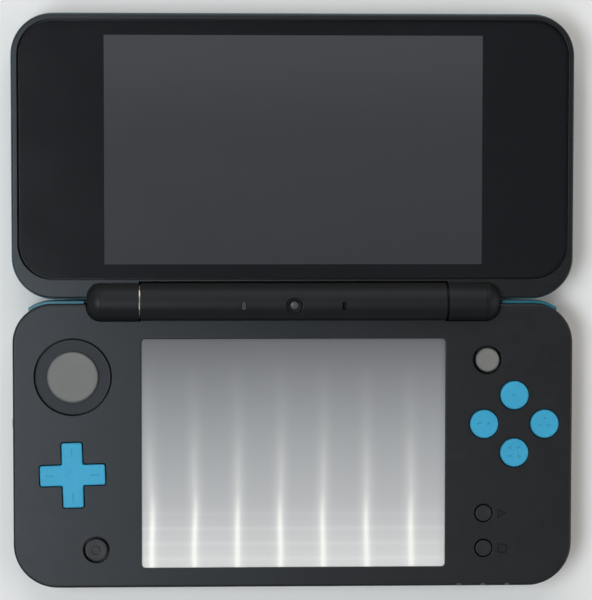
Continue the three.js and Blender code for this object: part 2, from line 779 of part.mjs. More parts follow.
function lidFrame() {
  const slab = roundedSlab(lidOutline(frameInset), framePartZ - frameBevel - cutOver, faceZ, frameBevel);
  const below = planBlock(framePartZ - frameBevel - 2 * cutOver, framePartZ + seatGap);
  const recess = prism(frameOutline(frameRim, frameHingeRim), windowZ - fitGap, faceZ + cutOver);
  const opening = prism(frameOutline(frameRim + frameLedge, frameHingeRim + frameLedge),
    framePartZ - cutOver, faceZ);
  const [[leftOuterX, leftInnerX], [rightInnerX, rightOuterX]] = endBarrelSpans;
  const barrels = [
    rod('x', endBarrelRadius, leftOuterX + endCapLength, leftInnerX, hingeAxis, fineSides),
    rod('x', endBarrelRadius, rightInnerX, rightOuterX - endCapLength, hingeAxis, fineSides),
  ];
  const bores = endBarrelSpans.map(([from, to]) =>
    rod('x', hingePinRadius + runGap, from - cutOver, to + cutOver, hingeAxis));
  const frame = cut(slab, [below, recess, opening, centreNotch(), ...endCapNotches()]);
  return cut(join(frame, barrels), bores);
}

// Room in the lid's edge for the centre barrel
function centreNotch() {
  const [[, leftX], [rightX]] = endBarrelSpans;
  return rod('x', centreBarrelRadius + lidNotchGap, leftX, rightX, hingeAxis, fineSides);
}

// Room in the lid's edge for the rounded end caps
const endCapNotches = () => [-1, 1].map((side) => barrelRoom(side, endBarrelReach - endCapLength, seatGap));

function lidBackShell() {
  const slab = roundedSlab(lidOutline(), lidBackZ, framePartZ + backBevel + cutOver, backBevel);
  const above = planBlock(framePartZ, framePartZ + backBevel + 2 * cutOver);
  const cavity = prism(lidOutline(frameInset + frameRim, frameHingeRim + frameLedge), lidCavityZ,
    framePartZ + cutOver);
  const wellOutline = lidOutline(coverRim + backBevel / 2);
  const coverWell = prism(wellOutline, lidBackZ - cutOver, lidBackZ + coverThickness + fitGap);
  const barrelWells = [
    barrelRoom(-1, leftSeam + seamGap / 2 - seatGap, seatGap),
    barrelRoom(1, rightSeam + seamGap / 2 - seatGap, seatGap),
  ];
  return cut(slab, [above, cavity, coverWell, centreNotch(), ...barrelWells]);
}

const lidCoverPlate = () =>
  prism(lidOutline(coverRim + backBevel / 2 + seatGap), lidBackZ, lidBackZ + coverThickness);

const lidWindow = () =>
  prism(frameOutline(frameRim + windowGap, frameHingeRim + windowGap), windowZ, windowTopZ);

function upperDisplay() {
  const windowDepth = halfDepth - frameHingeRim - frameInset - frameRim;
  const depth = windowDepth - 2 * upperScreenMargin;
  const midY = hingeGap + frameHingeRim + windowDepth / 2;
  const width = depth * upperScreenAspect;
  return prism(centredOutline(0, midY, width + 2 * screenBorder, depth + 2 * screenBorder, lowerScreenRadius),
    windowZ - fitGap - screenThickness, windowZ - fitGap, 1);
}

// Rounded end cap, turned about the hinge axis, its flat face at its own origin and its dome along +Z
function endCap() {
  const arc = quarterRound(endBarrelRadius - endCapRound, endCapLength - endCapRound, endCapRound);
  return turned([[0, fitGap], [endBarrelRadius, fitGap], ...arc, [0, endCapLength]], fineSides);
}

// Hinge unit: a steel pin that carries the lid, a flange in the seam and a body in the centre barrel
function hingeUnit(seam) {
  const flange = hingeFlangeThickness / 2;
  const bodyRadius = barrelBoreRadius - seatGap;
  const flangeRadius = Math.min(centreBarrelRadius, endBarrelRadius) - hingeFlangeInset;
  const pinLength = (endBarrelReach - seam - endCapLength) * hingePinShare;
  return turned([
    [0, -hingeBodyLength],
    [bodyRadius, -hingeBodyLength],
    [bodyRadius, -flange],
    [flangeRadius, -flange],
    [flangeRadius, flange],
    [hingePinRadius, flange],
    [hingePinRadius, pinLength],
    [0, pinLength],
  ]);
}

// Slide pad levels
const padRingTopZ = faceZ - padDish;
const padRingZ = padRingTopZ - padRingThickness;
const padCapZ = padRingTopZ + padCapLift;
const padFlangeTopZ = underFaceZ - fitGap;
const padFlangeZ = padFlangeTopZ - padFlangeThickness;
const padHoleRadius = padStemRadius + padTravel * Math.SQRT2 + runGap;
const padSkirtRadius = padHoleRadius + padTravel;
const padSkirtTopZ = padFlangeZ - runGap;
const padSkirtZ = padSkirtTopZ - padSkirtThickness;
const padCarriageTopZ = padSkirtZ - runGap;
const padCarriageZ = padCarriageTopZ - padCarriageThickness;
const padHousingFloorZ = padCarriageZ - 2 * runGap;
const padHalfRoom = padSkirtRadius + padTravel + runGap;
const padHalfHousing = padHalfRoom + padWall;

function slidePadRing() {
  const footInner = padRingRadius - padDishMargin * padFootShare;
  const flangeRadius = padRingRadius + padFlangeReach;
  return turned([
    [padHoleRadius, padRingZ],
    [padHoleRadius, padRingTopZ],
    [padRingRadius - padDishMargin, padRingTopZ],
    [padRingRadius - padRingGap, faceZ],
    [padRingRadius, faceZ - fitGap],
    [padRingRadius, padFlangeTopZ],
    [flangeRadius, padFlangeTopZ],
    [flangeRadius, padFlangeZ],
    [footInner, padFlangeZ],
    [footInner, padRingZ],
    [padHoleRadius, padRingZ],
  ], fineSides);
}

function slidePadHousing() {
  const square = (half, z0, z1) => blockAt(0, 0, 2 * half, 2 * half, z0, z1);
  const outer = square(padHalfHousing, padHousingFloorZ - padWall, padFlangeZ - fitGap);
  return outer.subtract(square(padHalfRoom, padHousingFloorZ, padFlangeZ + cutOver));
}

function slidePadCarriage() {
  const halfWidth = padHalfRoom - seatGap;
  const halfDepthY = padStemRadius + runGap + padWall;
  const plate = blockAt(0, 0, 2 * halfWidth, 2 * halfDepthY, padCarriageZ, padCarriageTopZ);
  const slotHalf = padStemRadius + padTravel + runGap;
  const slot = blockAt(0, 0, 2 * slotHalf, 2 * (padStemRadius + runGap), padCarriageZ - cutOver,
    padCarriageTopZ + cutOver);
  return plate.subtract(slot);
}

const slidePadStem = () => turned([
  [0, padCarriageZ],
  [padStemRadius, padCarriageZ],
  [padStemRadius, padSkirtZ],
  [padSkirtRadius, padSkirtZ],
  [padSkirtRadius, padSkirtTopZ],
  [padStemRadius, padSkirtTopZ],
  [padStemRadius, padCapZ - fitGap],
  [0, padCapZ - fitGap],
], fineSides);

function slidePadCap() {
  const top = padCapZ + padCapHeight;
  const round = quarterRound(padCapRadius - padCapRound, top - padCapRound, padCapRound);
  return turned([
    [0, padCapZ],
    [padCapRadius, padCapZ],
    ...round,
    [padCapRadius / 2, top - padCapHollow * padCapHollowShare],
    [0, top - padCapHollow],
  ], fineSides);
}

// D-pad: a cross that rocks on a small pivot pad
const dpadPivotZ = boardTopZ + dpadPivotGap;
const dpadCrossZ = dpadPivotZ + dpadPivotThickness + dpadPivotGap;

function dpadCross() {
  const top = faceZ + dpadProud;
  const body = crossPrism(dpadSpan, dpadArm, dpadCornerRadius, dpadCrossZ, top - dpadEdge);
  const crowns = crossOutline(dpadSpan, dpadArm, dpadCornerRadius).map((shape) =>
    roundedSlab(shape, dpadCrossZ, top, dpadEdge, 2, 1));
  const flange = rod('z', dpadFlangeRadius, dpadCrossZ, dpadCrossZ + dpadFlangeThickness, [0, 0]);
  return join(body, [...crowns, flange]);
}

const dpadPivot = () => rod('z', dpadPivotRadius, dpadPivotZ, dpadPivotZ + dpadPivotThickness, [0, 0]);

// Push button: a cap with a soft edge and a slightly hollow top, on a flange under the face wall
function pushButton(radius, proud, flangeReach, dish) {
  const top = faceZ + proud;
  const edge = proud * edgeShare;
  const flangeTop = underFaceZ - runGap;
  return turned([
    [0, flangeTop - buttonFlangeThickness],
    [radius + flangeReach, flangeTop - buttonFlangeThickness],
    [radius + flangeReach, flangeTop],
    [radius, flangeTop],
    [radius, top - edge],
    [radius - edge * edgeShare, top - edge * edgeShare],
    [radius - edge, top],
    [0, top - dish],
  ]);
}

function buttonMembrane() {
  const z = boardTopZ + fitGap;
  const bars = [
    blockAt(0, 0, 2 * (faceSpreadX + domeRadius), 2 * domeRadius, z, z + membraneThickness),
    blockAt(0, 0, 2 * domeRadius, 2 * (faceSpreadY + domeRadius), z, z + membraneThickness),
  ];
  const domeTopZ = z + membraneThickness + domeHeight;
  const domes = Object.values(facePlaces).map(([across, along]) =>
    rod('z', domeRadius * domeTopShare, z, domeTopZ, [across * faceSpreadX, along * faceSpreadY],
      smallSides));
  return join(bars[0], [bars[1], ...domes]);
}

// Thumb nub: base on the board, gimbal ring, and the nub itself
const nubBaseTopZ = boardTopZ + fitGap + nubBaseThickness;
const nubRingZ = nubBaseTopZ + runGap;
const nubRingInner = nubStemRadius + nubRingGap;
const nubRingOuter = nubRingInner + nubRingWidth;
const nubPostInner = nubRingOuter + runGap;
const nubBaseRadius = nubPostInner + nubPostWidth;

function nubBase() {
  const plate = rod('z', nubBaseRadius, boardTopZ + fitGap, nubBaseTopZ, [0, 0]);
  const posts = [-1, 1].map((side) => blockAt(side * (nubPostInner + nubPostWidth / 2), 0, nubPostWidth,
    2 * nubPostWidth, nubBaseTopZ - nubBaseThickness / 2, nubRingZ + nubRingThickness));
  return join(plate, posts);
}

const nubRing = () => turned([
  [nubRingInner, nubRingZ],
  [nubRingOuter, nubRingZ],
  [nubRingOuter, nubRingZ + nubRingThickness],
  [nubRingInner, nubRingZ + nubRingThickness],
  [nubRingInner, nubRingZ],
]);

function thumbNub() {
  const top = faceZ + nubProud;
  const edge = nubProud * edgeShare;
  return turned([
    [0, nubRingZ],
    [nubStemRadius, nubRingZ],
    [nubStemRadius, top - nubHeight],
    [nubRadius, top - nubHeight],
    [nubRadius, top - edge],
    [nubRadius - edge * edgeShare, top - edge * edgeShare],
    [nubRadius - edge, top],
    [0, top],
  ]);
}

// Shoulder button: follows the rear corner a little way outside it and turns on a pin at its inner end
function shoulderButton(side) {
  const half = baseHalfWidth + shoulderOutreach;
  const outline = roundedOutline(-half, half, frontY, rearY + shoulderOutreach, frontCornerRadius,
    rearCornerRadius + shoulderOutreach);
  const [x0, x1] = [side * shoulderInnerX, side * shoulderOuterX].sort((a, b) => a - b);
  const room = block(x0, x1, shoulderRearY, rearY + shoulderOutreach + cutOver, shoulderZ, shoulderTopZ);
  const pinHole = rod('z', shoulderPinRadius + seatGap, shoulderZ - cutOver, shoulderTopZ + cutOver,
    shoulderPinPlace(side), smallSides);
  return prism(outline, shoulderZ, shoulderTopZ).intersect(room).subtract(pinHole);
}

function trigger() {
  const lipY = rearY - sideWall - runGap;
  const face = block(-triggerWidth / 2, triggerWidth / 2, lipY - runGap, rearY + triggerOutreach, triggerZ,
    triggerTopZ);
  const lip = block(-triggerWidth / 2 - triggerLipReach, triggerWidth / 2 + triggerLipReach,
    lipY - triggerLipThickness, lipY, triggerZ, triggerTopZ);
  return face.add(lip);
}

function volumeKnob() {
  const wallX = -baseHalfWidth + sideWall + seatGap;
  const plateX = wallX + volumePlateThickness;
  const [halfLength, halfHeight] = [volumeKnobLength / 2, volumeKnobHeight / 2];
  const [plateHalfLength, plateHalfHeight] = [halfLength + volumePlateReach, halfHeight + 2 * runGap];
  const knob = block(-baseHalfWidth - volumeOutreach, plateX, volumeY - halfLength, volumeY + halfLength,
    volumeZ - halfHeight, volumeZ + halfHeight);
  const plate = block(wallX, plateX, volumeY - plateHalfLength, volumeY + plateHalfLength,
    volumeZ - plateHalfHeight, volumeZ + plateHalfHeight);
  return knob.add(plate);
}

function powerButton() {
  const wallY = frontY + sideWall + seatGap;
  const lipY = wallY + powerLipThickness;
  const plate = (y0, y1, reach) => {
    const [halfWidth, halfHeight] = [powerWidth / 2 + reach, powerHeight / 2 + reach];
    return block(powerX - halfWidth, powerX + halfWidth, y0, y1, powerZ - halfHeight, powerZ + halfHeight);
  };
  return plate(frontY + powerSink, lipY, 0).add(plate(wallY, lipY, powerLipReach));
}

function cardConnector() {
  const slotRearY = cardFrontY + cardSlotDepth;
  const outer = block(cardLeftX, cardRightX, cardFrontY, slotRearY + cardWall, floorZ + fitGap,
    boardZ - fitGap);
  const slot = block(cardSlotLeftX, cardSlotRightX, cardFrontY - cutOver, slotRearY, cardSlotZ, cardSlotTopZ);
  return outer.subtract(slot);
}

// Card cover: a flap in the front wall that follows the bevelled edge and turns on pins at its lower edge
function cardCover() {
  const flap = block(coverLeftX, coverRightX, frontY, frontY + coverFlapThickness, coverFlapZ, coverFlapTopZ);
  const pins = rod('x', coverPinRadius, coverLeftX - coverPinLength, coverRightX + coverPinLength, coverAxis,
    smallSides);
  const body = roundedSlab(baseOutline(), footHeight, faceZ + floorBevel, floorBevel);
  return flap.intersect(body).add(pins);
}

function headphoneJack() {
  const y = frontY + sideWall + fitGap;
  const body = block(jackX - jackWidth / 2, jackX + jackWidth / 2, y, y + jackDepth, floorZ + fitGap,
    boardZ - fitGap);
  const bore = rod('y', jackBoreRadius, y - cutOver, y + jackDepth - cutOver, [jackX, midUnderBoardZ]);
  return body.subtract(bore);
}

function chargePort() {
  const y = rearY - sideWall - fitGap;
  const top = Math.min(boardZ, hingeZ - centreBarrelRadius) - seatGap;
  const body = blockAt(chargeX, y - chargeDepth / 2, chargeWidth, chargeDepth, floorZ + fitGap, top);
  const slot = block(chargeX - chargeSlotWidth / 2, chargeX + chargeSlotWidth / 2, y - chargeSlotDepth,
    y + cutOver, midUnderBoardZ - chargeSlotHeight / 2, midUnderBoardZ + chargeSlotHeight / 2);
  return body.subtract(slot);
}

// Stylus, turned about its own axis with the blunt end at its origin, laid along +Y
function stylus() {
  const neck = stylusRadius - stylusNeckDepth;
  const geometry = new THREE.LatheGeometry([
    [0, 0],
    [stylusRadius - stylusNeckDepth / 2, 0],
    [stylusRadius, stylusNeckDepth],
    [stylusRadius, stylusNeckLength],
    [neck, stylusNeckLength + stylusNeckDepth],
    [neck, stylusNeckLength * 2],
    [stylusRadius, stylusNeckLength * 2 + stylusNeckDepth],
    [stylusRadius, stylusLength - stylusTipLength],
    [stylusTipRadius, stylusLength - stylusTipRadius],
    [stylusTipRadius / 2, stylusLength],
    [0, stylusLength],
  ].map(([r, y]) => new THREE.Vector2(r, y)), roundSides);
  return solid(geometry);
}

function battery() {
  const right = stylusX - stylusRadius - 2 * runGap;
  const y = frontY + batteryFrontInset;
  const outline = roundedOutline(right - batteryWidth, right, y, y + batteryDepth, batteryRadius);
  return prism(outline, floorZ + fitGap, boardZ - runGap, 2);
}

function speaker() {
  const frame = prism(centredOutline(0, 0, speakerWidth, speakerDepth, batteryRadius), 0, speakerHeight, 2);
  return frame.subtract(rod('z', speakerConeRadius, -cutOver, speakerConeDepth, [0, 0]));
}

function mainBoard() {
  const half = baseHalfWidth - boardInset;
  const outline = roundedOutline(-half, half, frontY + boardInset, rearY - boardRearInset,
    frontCornerRadius / 2);
  const board = prism(outline, boardZ, boardTopZ, 2);
  const padRoomWidth = 2 * (padHalfHousing + runGap);
  const padRoom = blockAt(padX, padY, padRoomWidth, padRoomWidth, boardZ - cutOver, boardTopZ + cutOver);
  const bossRooms = screwPlaces.map((place) =>
    rod('z', bossRadius + runGap, boardZ - cutOver, boardTopZ + cutOver, place, smallSides));
  return cut(board, [padRoom, ...bossRooms]);
}

function lightGuide() {
  const z = underFaceZ - seatGap;
  const y = frontY + sideWall + seatGap;
  const bar = block(lensMiddles[0] - lensWidth, lensMiddles[2] + lensWidth, y, y + guideBarDepth,
    z - guideBarHeight, z);
  const posts = lensMiddles.flatMap((x) => lensPost(x, 0));
  const bossRooms = screwPlaces.map((place) =>
    rod('z', bossRadius + seatGap, z - cutOver - guideBarHeight, faceZ - lensHeight, place));
  return cut(join(bar, posts), bossRooms).intersect(baseEnvelope());
}

// Pieces in the centre barrel stand along the camera's tilt, radially outwards from the hinge axis
const cameraTop = centreBarrelRadius - cameraSink;

const frontCameraHousing = () => turned([
  [0, cameraTop - cameraLength],
  [cameraRadius, cameraTop - cameraLength],
  [cameraRadius, cameraTop - fitGap],
  [cameraRadius - fitGap, cameraTop],
  [cameraWellRadius, cameraTop],
  [cameraWellRadius, cameraTop - cameraWellDepth],
  [0, cameraTop - cameraWellDepth],
]);

function frontCameraLens() {
  const z = cameraTop - cameraWellDepth + fitGap;
  const radius = cameraWellRadius - cameraLensGap;
  const [crownRadiusShare, crownHeightShare] = cameraLensCrownShares;
  return turned([
    [0, z],
    [radius, z],
    [radius, z + cameraLensHeight / 2],
    [radius * crownRadiusShare, z + cameraLensHeight * crownHeightShare],
    [0, z + cameraLensHeight],
  ]);
}

const indicatorLens = () => prism(
  centredOutline(0, 0, indicatorWidth, indicatorLength, indicatorWidth * indicatorRoundShare),
  barrelBoreRadius - runGap, centreBarrelRadius - fitGap, 2);

function microphone() {
  const top = Math.sqrt((barrelBoreRadius - seatGap) ** 2 - microphoneRadius ** 2);
  return rod('z', microphoneRadius, top - microphoneHeight, top, [0, 0]);
}

function outerCameraWindow() {
  const z = footHeight + outerCameraSink;
  const outline = centredOutline(0, rearY - outerCameraInset, outerCameraWidth, outerCameraDepth,
    outerCameraDepth / 2 - seatGap);
  return prism(outline, z, z + outerCameraThickness);
}

const foot = () => turned([
  [0, 0],
  [footRadius - footRecess, 0],
  [footRadius, footRecess],
  [footRadius, footHeight + footRecess - fitGap],
  [0, footHeight + footRecess - fitGap],
]);

const screw = () => turned([
  [0, 0],
  [screwHeadRadius, 0],
  [screwHeadRadius, screwHeadHeight],
  [screwShankRadius, screwHeadHeight],
  [screwShankRadius, screwHeadHeight + screwShankLength],
  [0, screwHeadHeight + screwShankLength],
], smallSides);

// Assembly: lid
addPiece(lidGroup, 'lid_front_frame', shellBlack, lidFrame());
addPiece(lidGroup, 'lid_back_shell', turquoise, lidBackShell());
addPiece(lidGroup, 'lid_cover_plate', rubberBlack, lidCoverPlate());
addPiece(lidGroup, 'lid_window', glossBlack, lidWindow());
addPiece(lidGroup, 'upper_display', screenGrey, upperDisplay());
for (const [name, side] of [['left', -1], ['right', 1]]) {
  const cap = addPiece(lidGroup, `hinge_cap_${name}`, shellBlack, endCap(),
    side * (endBarrelReach - endCapLength), 0, hingeZ);
  cap.rotation.y = side * Math.PI / 2;
  const seam = side < 0 ? leftSeam : rightSeam;
  const unit = addPiece(baseGroup, `hinge_unit_${name}`, steel, hingeUnit(seam), side * seam, 0, hingeZ);
  unit.rotation.y = side * Math.PI / 2;
}

// Assembly: base shells and screens
addPiece(baseGroup, 'base_top_shell', shellBlack, baseTopShell());
addPiece(baseGroup, 'base_bottom_shell', shellBlack, baseBottomShell());
addPiece(baseGroup, 'touch_panel', screenSilver,
  prism(screenOutline(screenBorder, lowerScreenRadius), touchZ, touchTopZ, 2));
addPiece(baseGroup, 'lower_display', screenGrey,
  prism(screenOutline(screenBorder, lowerScreenRadius), screenZ, screenZ + screenThickness, 2));
addPiece(baseGroup, 'main_board', boardGreen, mainBoard());
addPiece(baseGroup, 'battery', cellGrey, battery());

// Assembly: slide pad
const padGroup = new THREE.Group();
padGroup.position.set(padX, padY, 0);
baseGroup.add(padGroup);
addPiece(padGroup, 'slide_pad_ring', shellBlack, slidePadRing());
addPiece(padGroup, 'slide_pad_housing', moduleGrey, slidePadHousing());
addPiece(padGroup, 'slide_pad_carriage', moduleGrey, slidePadCarriage());
addPiece(padGroup, 'slide_pad_stem', rubberBlack, slidePadStem());
addPiece(padGroup, 'slide_pad_cap', padGrey, slidePadCap());

// Assembly: D-pad
addPiece(baseGroup, 'dpad_pivot', rubberBlack, dpadPivot(), dpadX, dpadY);
const cross = addPiece(baseGroup, 'dpad_cross', buttonBlue, dpadCross(), dpadX, dpadY);
cross.rotation.z = dpadSlackAngle;

// Assembly: buttons
for (const [name, place] of Object.entries(facePlaces)) {
  const [x, y] = facePlace(place);
  addPiece(baseGroup, `face_button_${name}`, buttonBlue,
    pushButton(faceButtonRadius, faceButtonProud, faceFlangeReach, faceButtonDish), x, y);
}
addPiece(baseGroup, 'button_membrane', rubberBlack, buttonMembrane(), faceX, faceY);
addPiece(baseGroup, 'home_button', smallBlack,
  pushButton(homeRadius, smallButtonProud, homeFlangeReach, 0), homeX, homeY);
addPiece(baseGroup, 'start_button', smallBlack,
  pushButton(optionRadius, smallButtonProud, smallFlangeReach, 0), startX, startY);
addPiece(baseGroup, 'select_button', smallBlack,
  pushButton(optionRadius, smallButtonProud, smallFlangeReach, 0), selectX, selectY);
addPiece(baseGroup, 'power_button', smallBlack, powerButton());
addPiece(baseGroup, 'volume_knob', turquoise, volumeKnob());

// Assembly: thumb nub
addPiece(baseGroup, 'nub_base', moduleGrey, nubBase(), nubX, nubY);
addPiece(baseGroup, 'nub_gimbal', moduleGrey, nubRing(), nubX, nubY);
addPiece(baseGroup, 'thumb_nub', padGrey, thumbNub(), nubX, nubY);

// Assembly: shoulder buttons, triggers, speakers
for (const [name, side] of [['left', -1], ['right', 1]]) {
  addPiece(baseGroup, `shoulder_button_${name}`, turquoise, shoulderButton(side));
  addPiece(baseGroup, `trigger_${name}`, turquoise, trigger(), side * triggerX);
  addPiece(baseGroup, `speaker_${name}`, moduleGrey, speaker(), side * speakerX, speakerY, floorZ + fitGap);
}

// Assembly: front and rear sockets, card connector and cover, stylus, lights
addPiece(baseGroup, 'card_connector', moduleGrey, cardConnector());
addPiece(baseGroup, 'card_cover', shellBlack, cardCover());
addPiece(baseGroup, 'headphone_jack', moduleGrey, headphoneJack());
addPiece(baseGroup, 'charge_port', moduleGrey, chargePort());
addPiece(baseGroup, 'stylus', smallBlack, stylus(), stylusX, frontY, midUnderBoardZ);
addPiece(baseGroup, 'light_guide', clearLens, lightGuide());

// Assembly: pieces in the centre barrel
const eyeGroup = new THREE.Group();
eyeGroup.position.set(0, 0, hingeZ);
eyeGroup.rotation.x = barrelTiltAngle;
baseGroup.add(eyeGroup);
addPiece(eyeGroup, 'front_camera_housing', smallBlack, frontCameraHousing());
addPiece(eyeGroup, 'front_camera_lens', clearLens, frontCameraLens());
addPiece(eyeGroup, 'indicator_lens', clearLens, indicatorLens(), -barrelFeatureSpan);
addPiece(eyeGroup, 'microphone', moduleGrey, microphone(), barrelFeatureSpan);
addPiece(baseGroup, 'outer_camera_window', glossBlack, outerCameraWindow());

// Assembly: feet and screws
footPlaces.forEach(([x, y], i) => addPiece(baseGroup, `foot_${i + 1}`, rubberBlack, foot(), x, y));
screwPlaces.forEach(([x, y], i) =>
  addPiece(baseGroup, `screw_${i + 1}`, steel, screw(), x, y, footHeight + screwSink));

export default root;
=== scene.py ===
import math

import bmesh
import bpy
from mathutils import Matrix, Vector


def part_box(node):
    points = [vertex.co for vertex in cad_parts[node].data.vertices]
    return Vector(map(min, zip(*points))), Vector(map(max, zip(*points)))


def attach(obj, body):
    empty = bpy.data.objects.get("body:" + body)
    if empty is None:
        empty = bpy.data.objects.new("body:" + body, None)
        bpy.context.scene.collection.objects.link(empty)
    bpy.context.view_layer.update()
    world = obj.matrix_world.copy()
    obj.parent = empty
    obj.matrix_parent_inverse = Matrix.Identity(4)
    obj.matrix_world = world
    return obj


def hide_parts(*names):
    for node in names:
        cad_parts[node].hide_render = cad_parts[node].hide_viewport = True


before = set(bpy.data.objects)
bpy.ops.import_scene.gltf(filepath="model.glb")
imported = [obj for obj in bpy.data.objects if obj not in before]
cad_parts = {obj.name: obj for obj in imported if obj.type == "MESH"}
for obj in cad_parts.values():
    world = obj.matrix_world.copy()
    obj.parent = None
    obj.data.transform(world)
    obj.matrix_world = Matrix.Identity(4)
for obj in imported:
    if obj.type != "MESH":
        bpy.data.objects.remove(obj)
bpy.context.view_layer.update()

# Sizes below are in millimetres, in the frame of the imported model
MM = 0.001

# Steps of an arc, and sides of round shapes from wide to narrow
ARC = 10
WIDE_ARC = 16
CAP_ARC = 12
FLOOR_ARC = 8
SMALL_ARC = 5
WIDE_ROUND = 96
ROUND = 72
KEY_ROUND = 64
SMALL_ROUND = 48
THIN_ROUND = 40
PIN_ROUND = 24

# Levels of the base and the lid
FLOOR_Z = 1.7
PARTING_Z = 6.5
UNDER_FACE_Z = 10.6
TOUCH_TOP_Z = 11.7
FACE_Z = 12.4
HINGE_Z = 12.7
WALL = 1.5
FACE_BEVEL = 0.8
FLOOR_BEVEL = 2.4
SEAM_EDGE = 0.15
FIT = 0.15

# Corner radii, seen from above
REAR_RADIUS = 11.1
FRONT_RADIUS = 12.5
LID_RADIUS = 11.9

# Hinge
BARREL_RADIUS = 5.35
END_RADIUS = 5.25
BORE_RADIUS = 4.2
CAP_ROUND = 3.9
HINGE_BODY = 7.0
SEAM_GAP = 0.5
TROUGH_GAP = 0.35
CAP_GAP = 0.12
NOTCH_GAP = 0.45
BARREL_TILT = 0.17
FEATURE_SPAN = 14.1


def box_mm(node):
    low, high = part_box(node)
    return low / MM, high / MM


def middle_of(node):
    low, high = box_mm(node)
    return (low + high) / 2


BASE_LOW, BASE_HIGH = box_mm("base_bottom_shell")
HALF, FRONT_Y, REAR_Y = BASE_HIGH.x, BASE_LOW.y, BASE_HIGH.y
LID_LOW, LID_HIGH = box_mm("lid_back_shell")
CAP_INNER, CAP_OUTER = box_mm("hinge_cap_right")[0].x, box_mm("hinge_cap_right")[1].x
SEAM = box_mm("hinge_unit_right")[0].x + HINGE_BODY
SIDES = (("left", -1), ("right", 1))


# Outlines: each gives its points, counterclockwise, at an inset from its own edge

def filleted(corners, steps=ARC):
    def drawn(inset=0.0):
        points = []
        for i, (x, y, radius) in enumerate(corners):
            before, after = corners[i - 1], corners[(i + 1) % len(corners)]
            towards = Vector((x - before[0], y - before[1])).normalized()
            onwards = Vector((after[0] - x, after[1] - y)).normalized()
            first = Vector((-towards.y, towards.x))
            last = Vector((-onwards.y, onwards.x))
            side = 1 if towards.x * onwards.y > towards.y * onwards.x else -1
            facing = first.dot(last)
            bend = max(radius, side * inset + MM)
            centre = Vector((x, y)) + side * (first + last) * bend / (1 + facing)
            reach = bend - side * inset
            start = math.atan2(-side * first.y, -side * first.x)
            turn = side * math.acos(max(-1.0, min(1.0, facing)))
            for k in range(steps + 1):
                angle = start + turn * k / steps
                points.append((centre.x + reach * math.cos(angle), centre.y + reach * math.sin(angle)))
        return points
    return drawn


def rectangle(x0, x1, y0, y1, radius, far_radius=None, steps=ARC):
    far = radius if far_radius is None else far_radius
    return filleted([(x0, y0, radius), (x1, y0, radius), (x1, y1, far), (x0, y1, far)], steps)


def centred(x, y, width, depth, radius, steps=ARC):
    return rectangle(x - width / 2, x + width / 2, y - depth / 2, y + depth / 2, radius, steps=steps)


def circle(x, y, radius, count=ROUND):
    def drawn(inset=0.0):
        turns = [2 * math.pi * i / count for i in range(count)]
        reach = radius - inset
        return [(x + reach * math.cos(a), y + reach * math.sin(a)) for a in turns]
    return drawn


def cross_outline(span, arm, tip_radius, inner_radius):
    s, a = span / 2, arm / 2
    corners = [(-a, -s, tip_radius), (a, -s, tip_radius), (a, -a, inner_radius), (s, -a, tip_radius)]
    points = []
    for c, n in ((1, 0), (0, 1), (-1, 0), (0, -1)):
        for x, y, r in corners[1:]:
            points.append((c * x - n * y, n * x + c * y, r))
    return filleted(points, SMALL_ARC)


# Levels: pairs of inset and height, from the bottom up

# How far a cutter reaches past the face that it cuts
ABOVE = 1


def raised(levels, z):
    return [(inset, z + rise) for inset, rise in levels]


def arc(steps):
    """Shares of a radius along a quarter circle: one falls to 0 as the other rises to 1."""
    angles = [math.pi / 2 * k / steps for k in range(steps + 1)]
    return [(1 - math.sin(a), 1 - math.cos(a)) for a in angles]


def rounded_low(z, radius, steps=SMALL_ARC):
    return [(radius * falling, z + radius * rising) for falling, rising in arc(steps)]


def rounded_top(z, radius, steps=SMALL_ARC):
    return [(radius * rising, z - radius * falling) for falling, rising in arc(steps)]


def flared_top(z, lip):
    return [(-lip * rising, z - lip * falling) for falling, rising in arc(4)] + [(-lip, z + ABOVE)]


# Meshes

# Points nearer than this, in metres, become one
WELD = 2e-7
HERE = Matrix.Identity(4)


def placed(name, data):
    item = bpy.data.objects.new(name, data)
    bpy.context.scene.collection.objects.link(item)
    return item


def skin(name, loops, place=HERE, ring=False):
    """Joins rows of points, one above the other, into a closed surface."""
    mesh = bmesh.new()
    rows = [[mesh.verts.new(place @ Vector(p) * MM) for p in loop] for loop in loops]
    pairs = list(zip(rows, rows[1:])) + ([(rows[-1], rows[0])] if ring else [])
    for low, high in pairs:
        count = max(len(low), len(high))
        for i in range(count):
            j = (i + 1) % count
            corners = [low[i % len(low)], low[j % len(low)], high[j % len(high)], high[i % len(high)]]
            mesh.faces.new(list(dict.fromkeys(corners)))
    if not ring:
        for row in (rows[0], rows[-1]):
            if len(row) > 2:
                mesh.faces.new(row)
    bmesh.ops.remove_doubles(mesh, verts=mesh.verts, dist=WELD / 2)
    bmesh.ops.recalc_face_normals(mesh, faces=mesh.faces)
    data = bpy.data.meshes.new(name)
    mesh.to_mesh(data)
    mesh.free()
    return placed(name, data)


def loft(name, outline, levels, place=HERE, ring=False):
    """An outline drawn at each level's inset and height."""
    return skin(name, [[(x, y, z) for x, y in outline(inset)] for inset, z in levels], place, ring)


def turned(name, profile, place=HERE, count=ROUND, ring=False):
    """A profile of radius and height, turned about the Z axis."""
    loops = []
    for radius, z in profile:
        if radius < MM:
            loops.append([(0, 0, z)])
        else:
            loops.append([(x, y, z) for x, y in circle(0, 0, radius, count)()])
    return skin(name, loops, place, ring)


def block(x0, x1, y0, y1, z0, z1):
    corners = [(x0, y0), (x1, y0), (x1, y1), (x0, y1)]
    return skin("cutter", [[(x, y, z) for x, y in corners] for z in (z0, z1)])


def opening(outline, low, top, lip, place=HERE):
    return loft("cutter", outline, [(0, low)] + flared_top(top, lip), place)


def at(x, y, z=0.0):
    return Matrix.Translation((x, y, z))


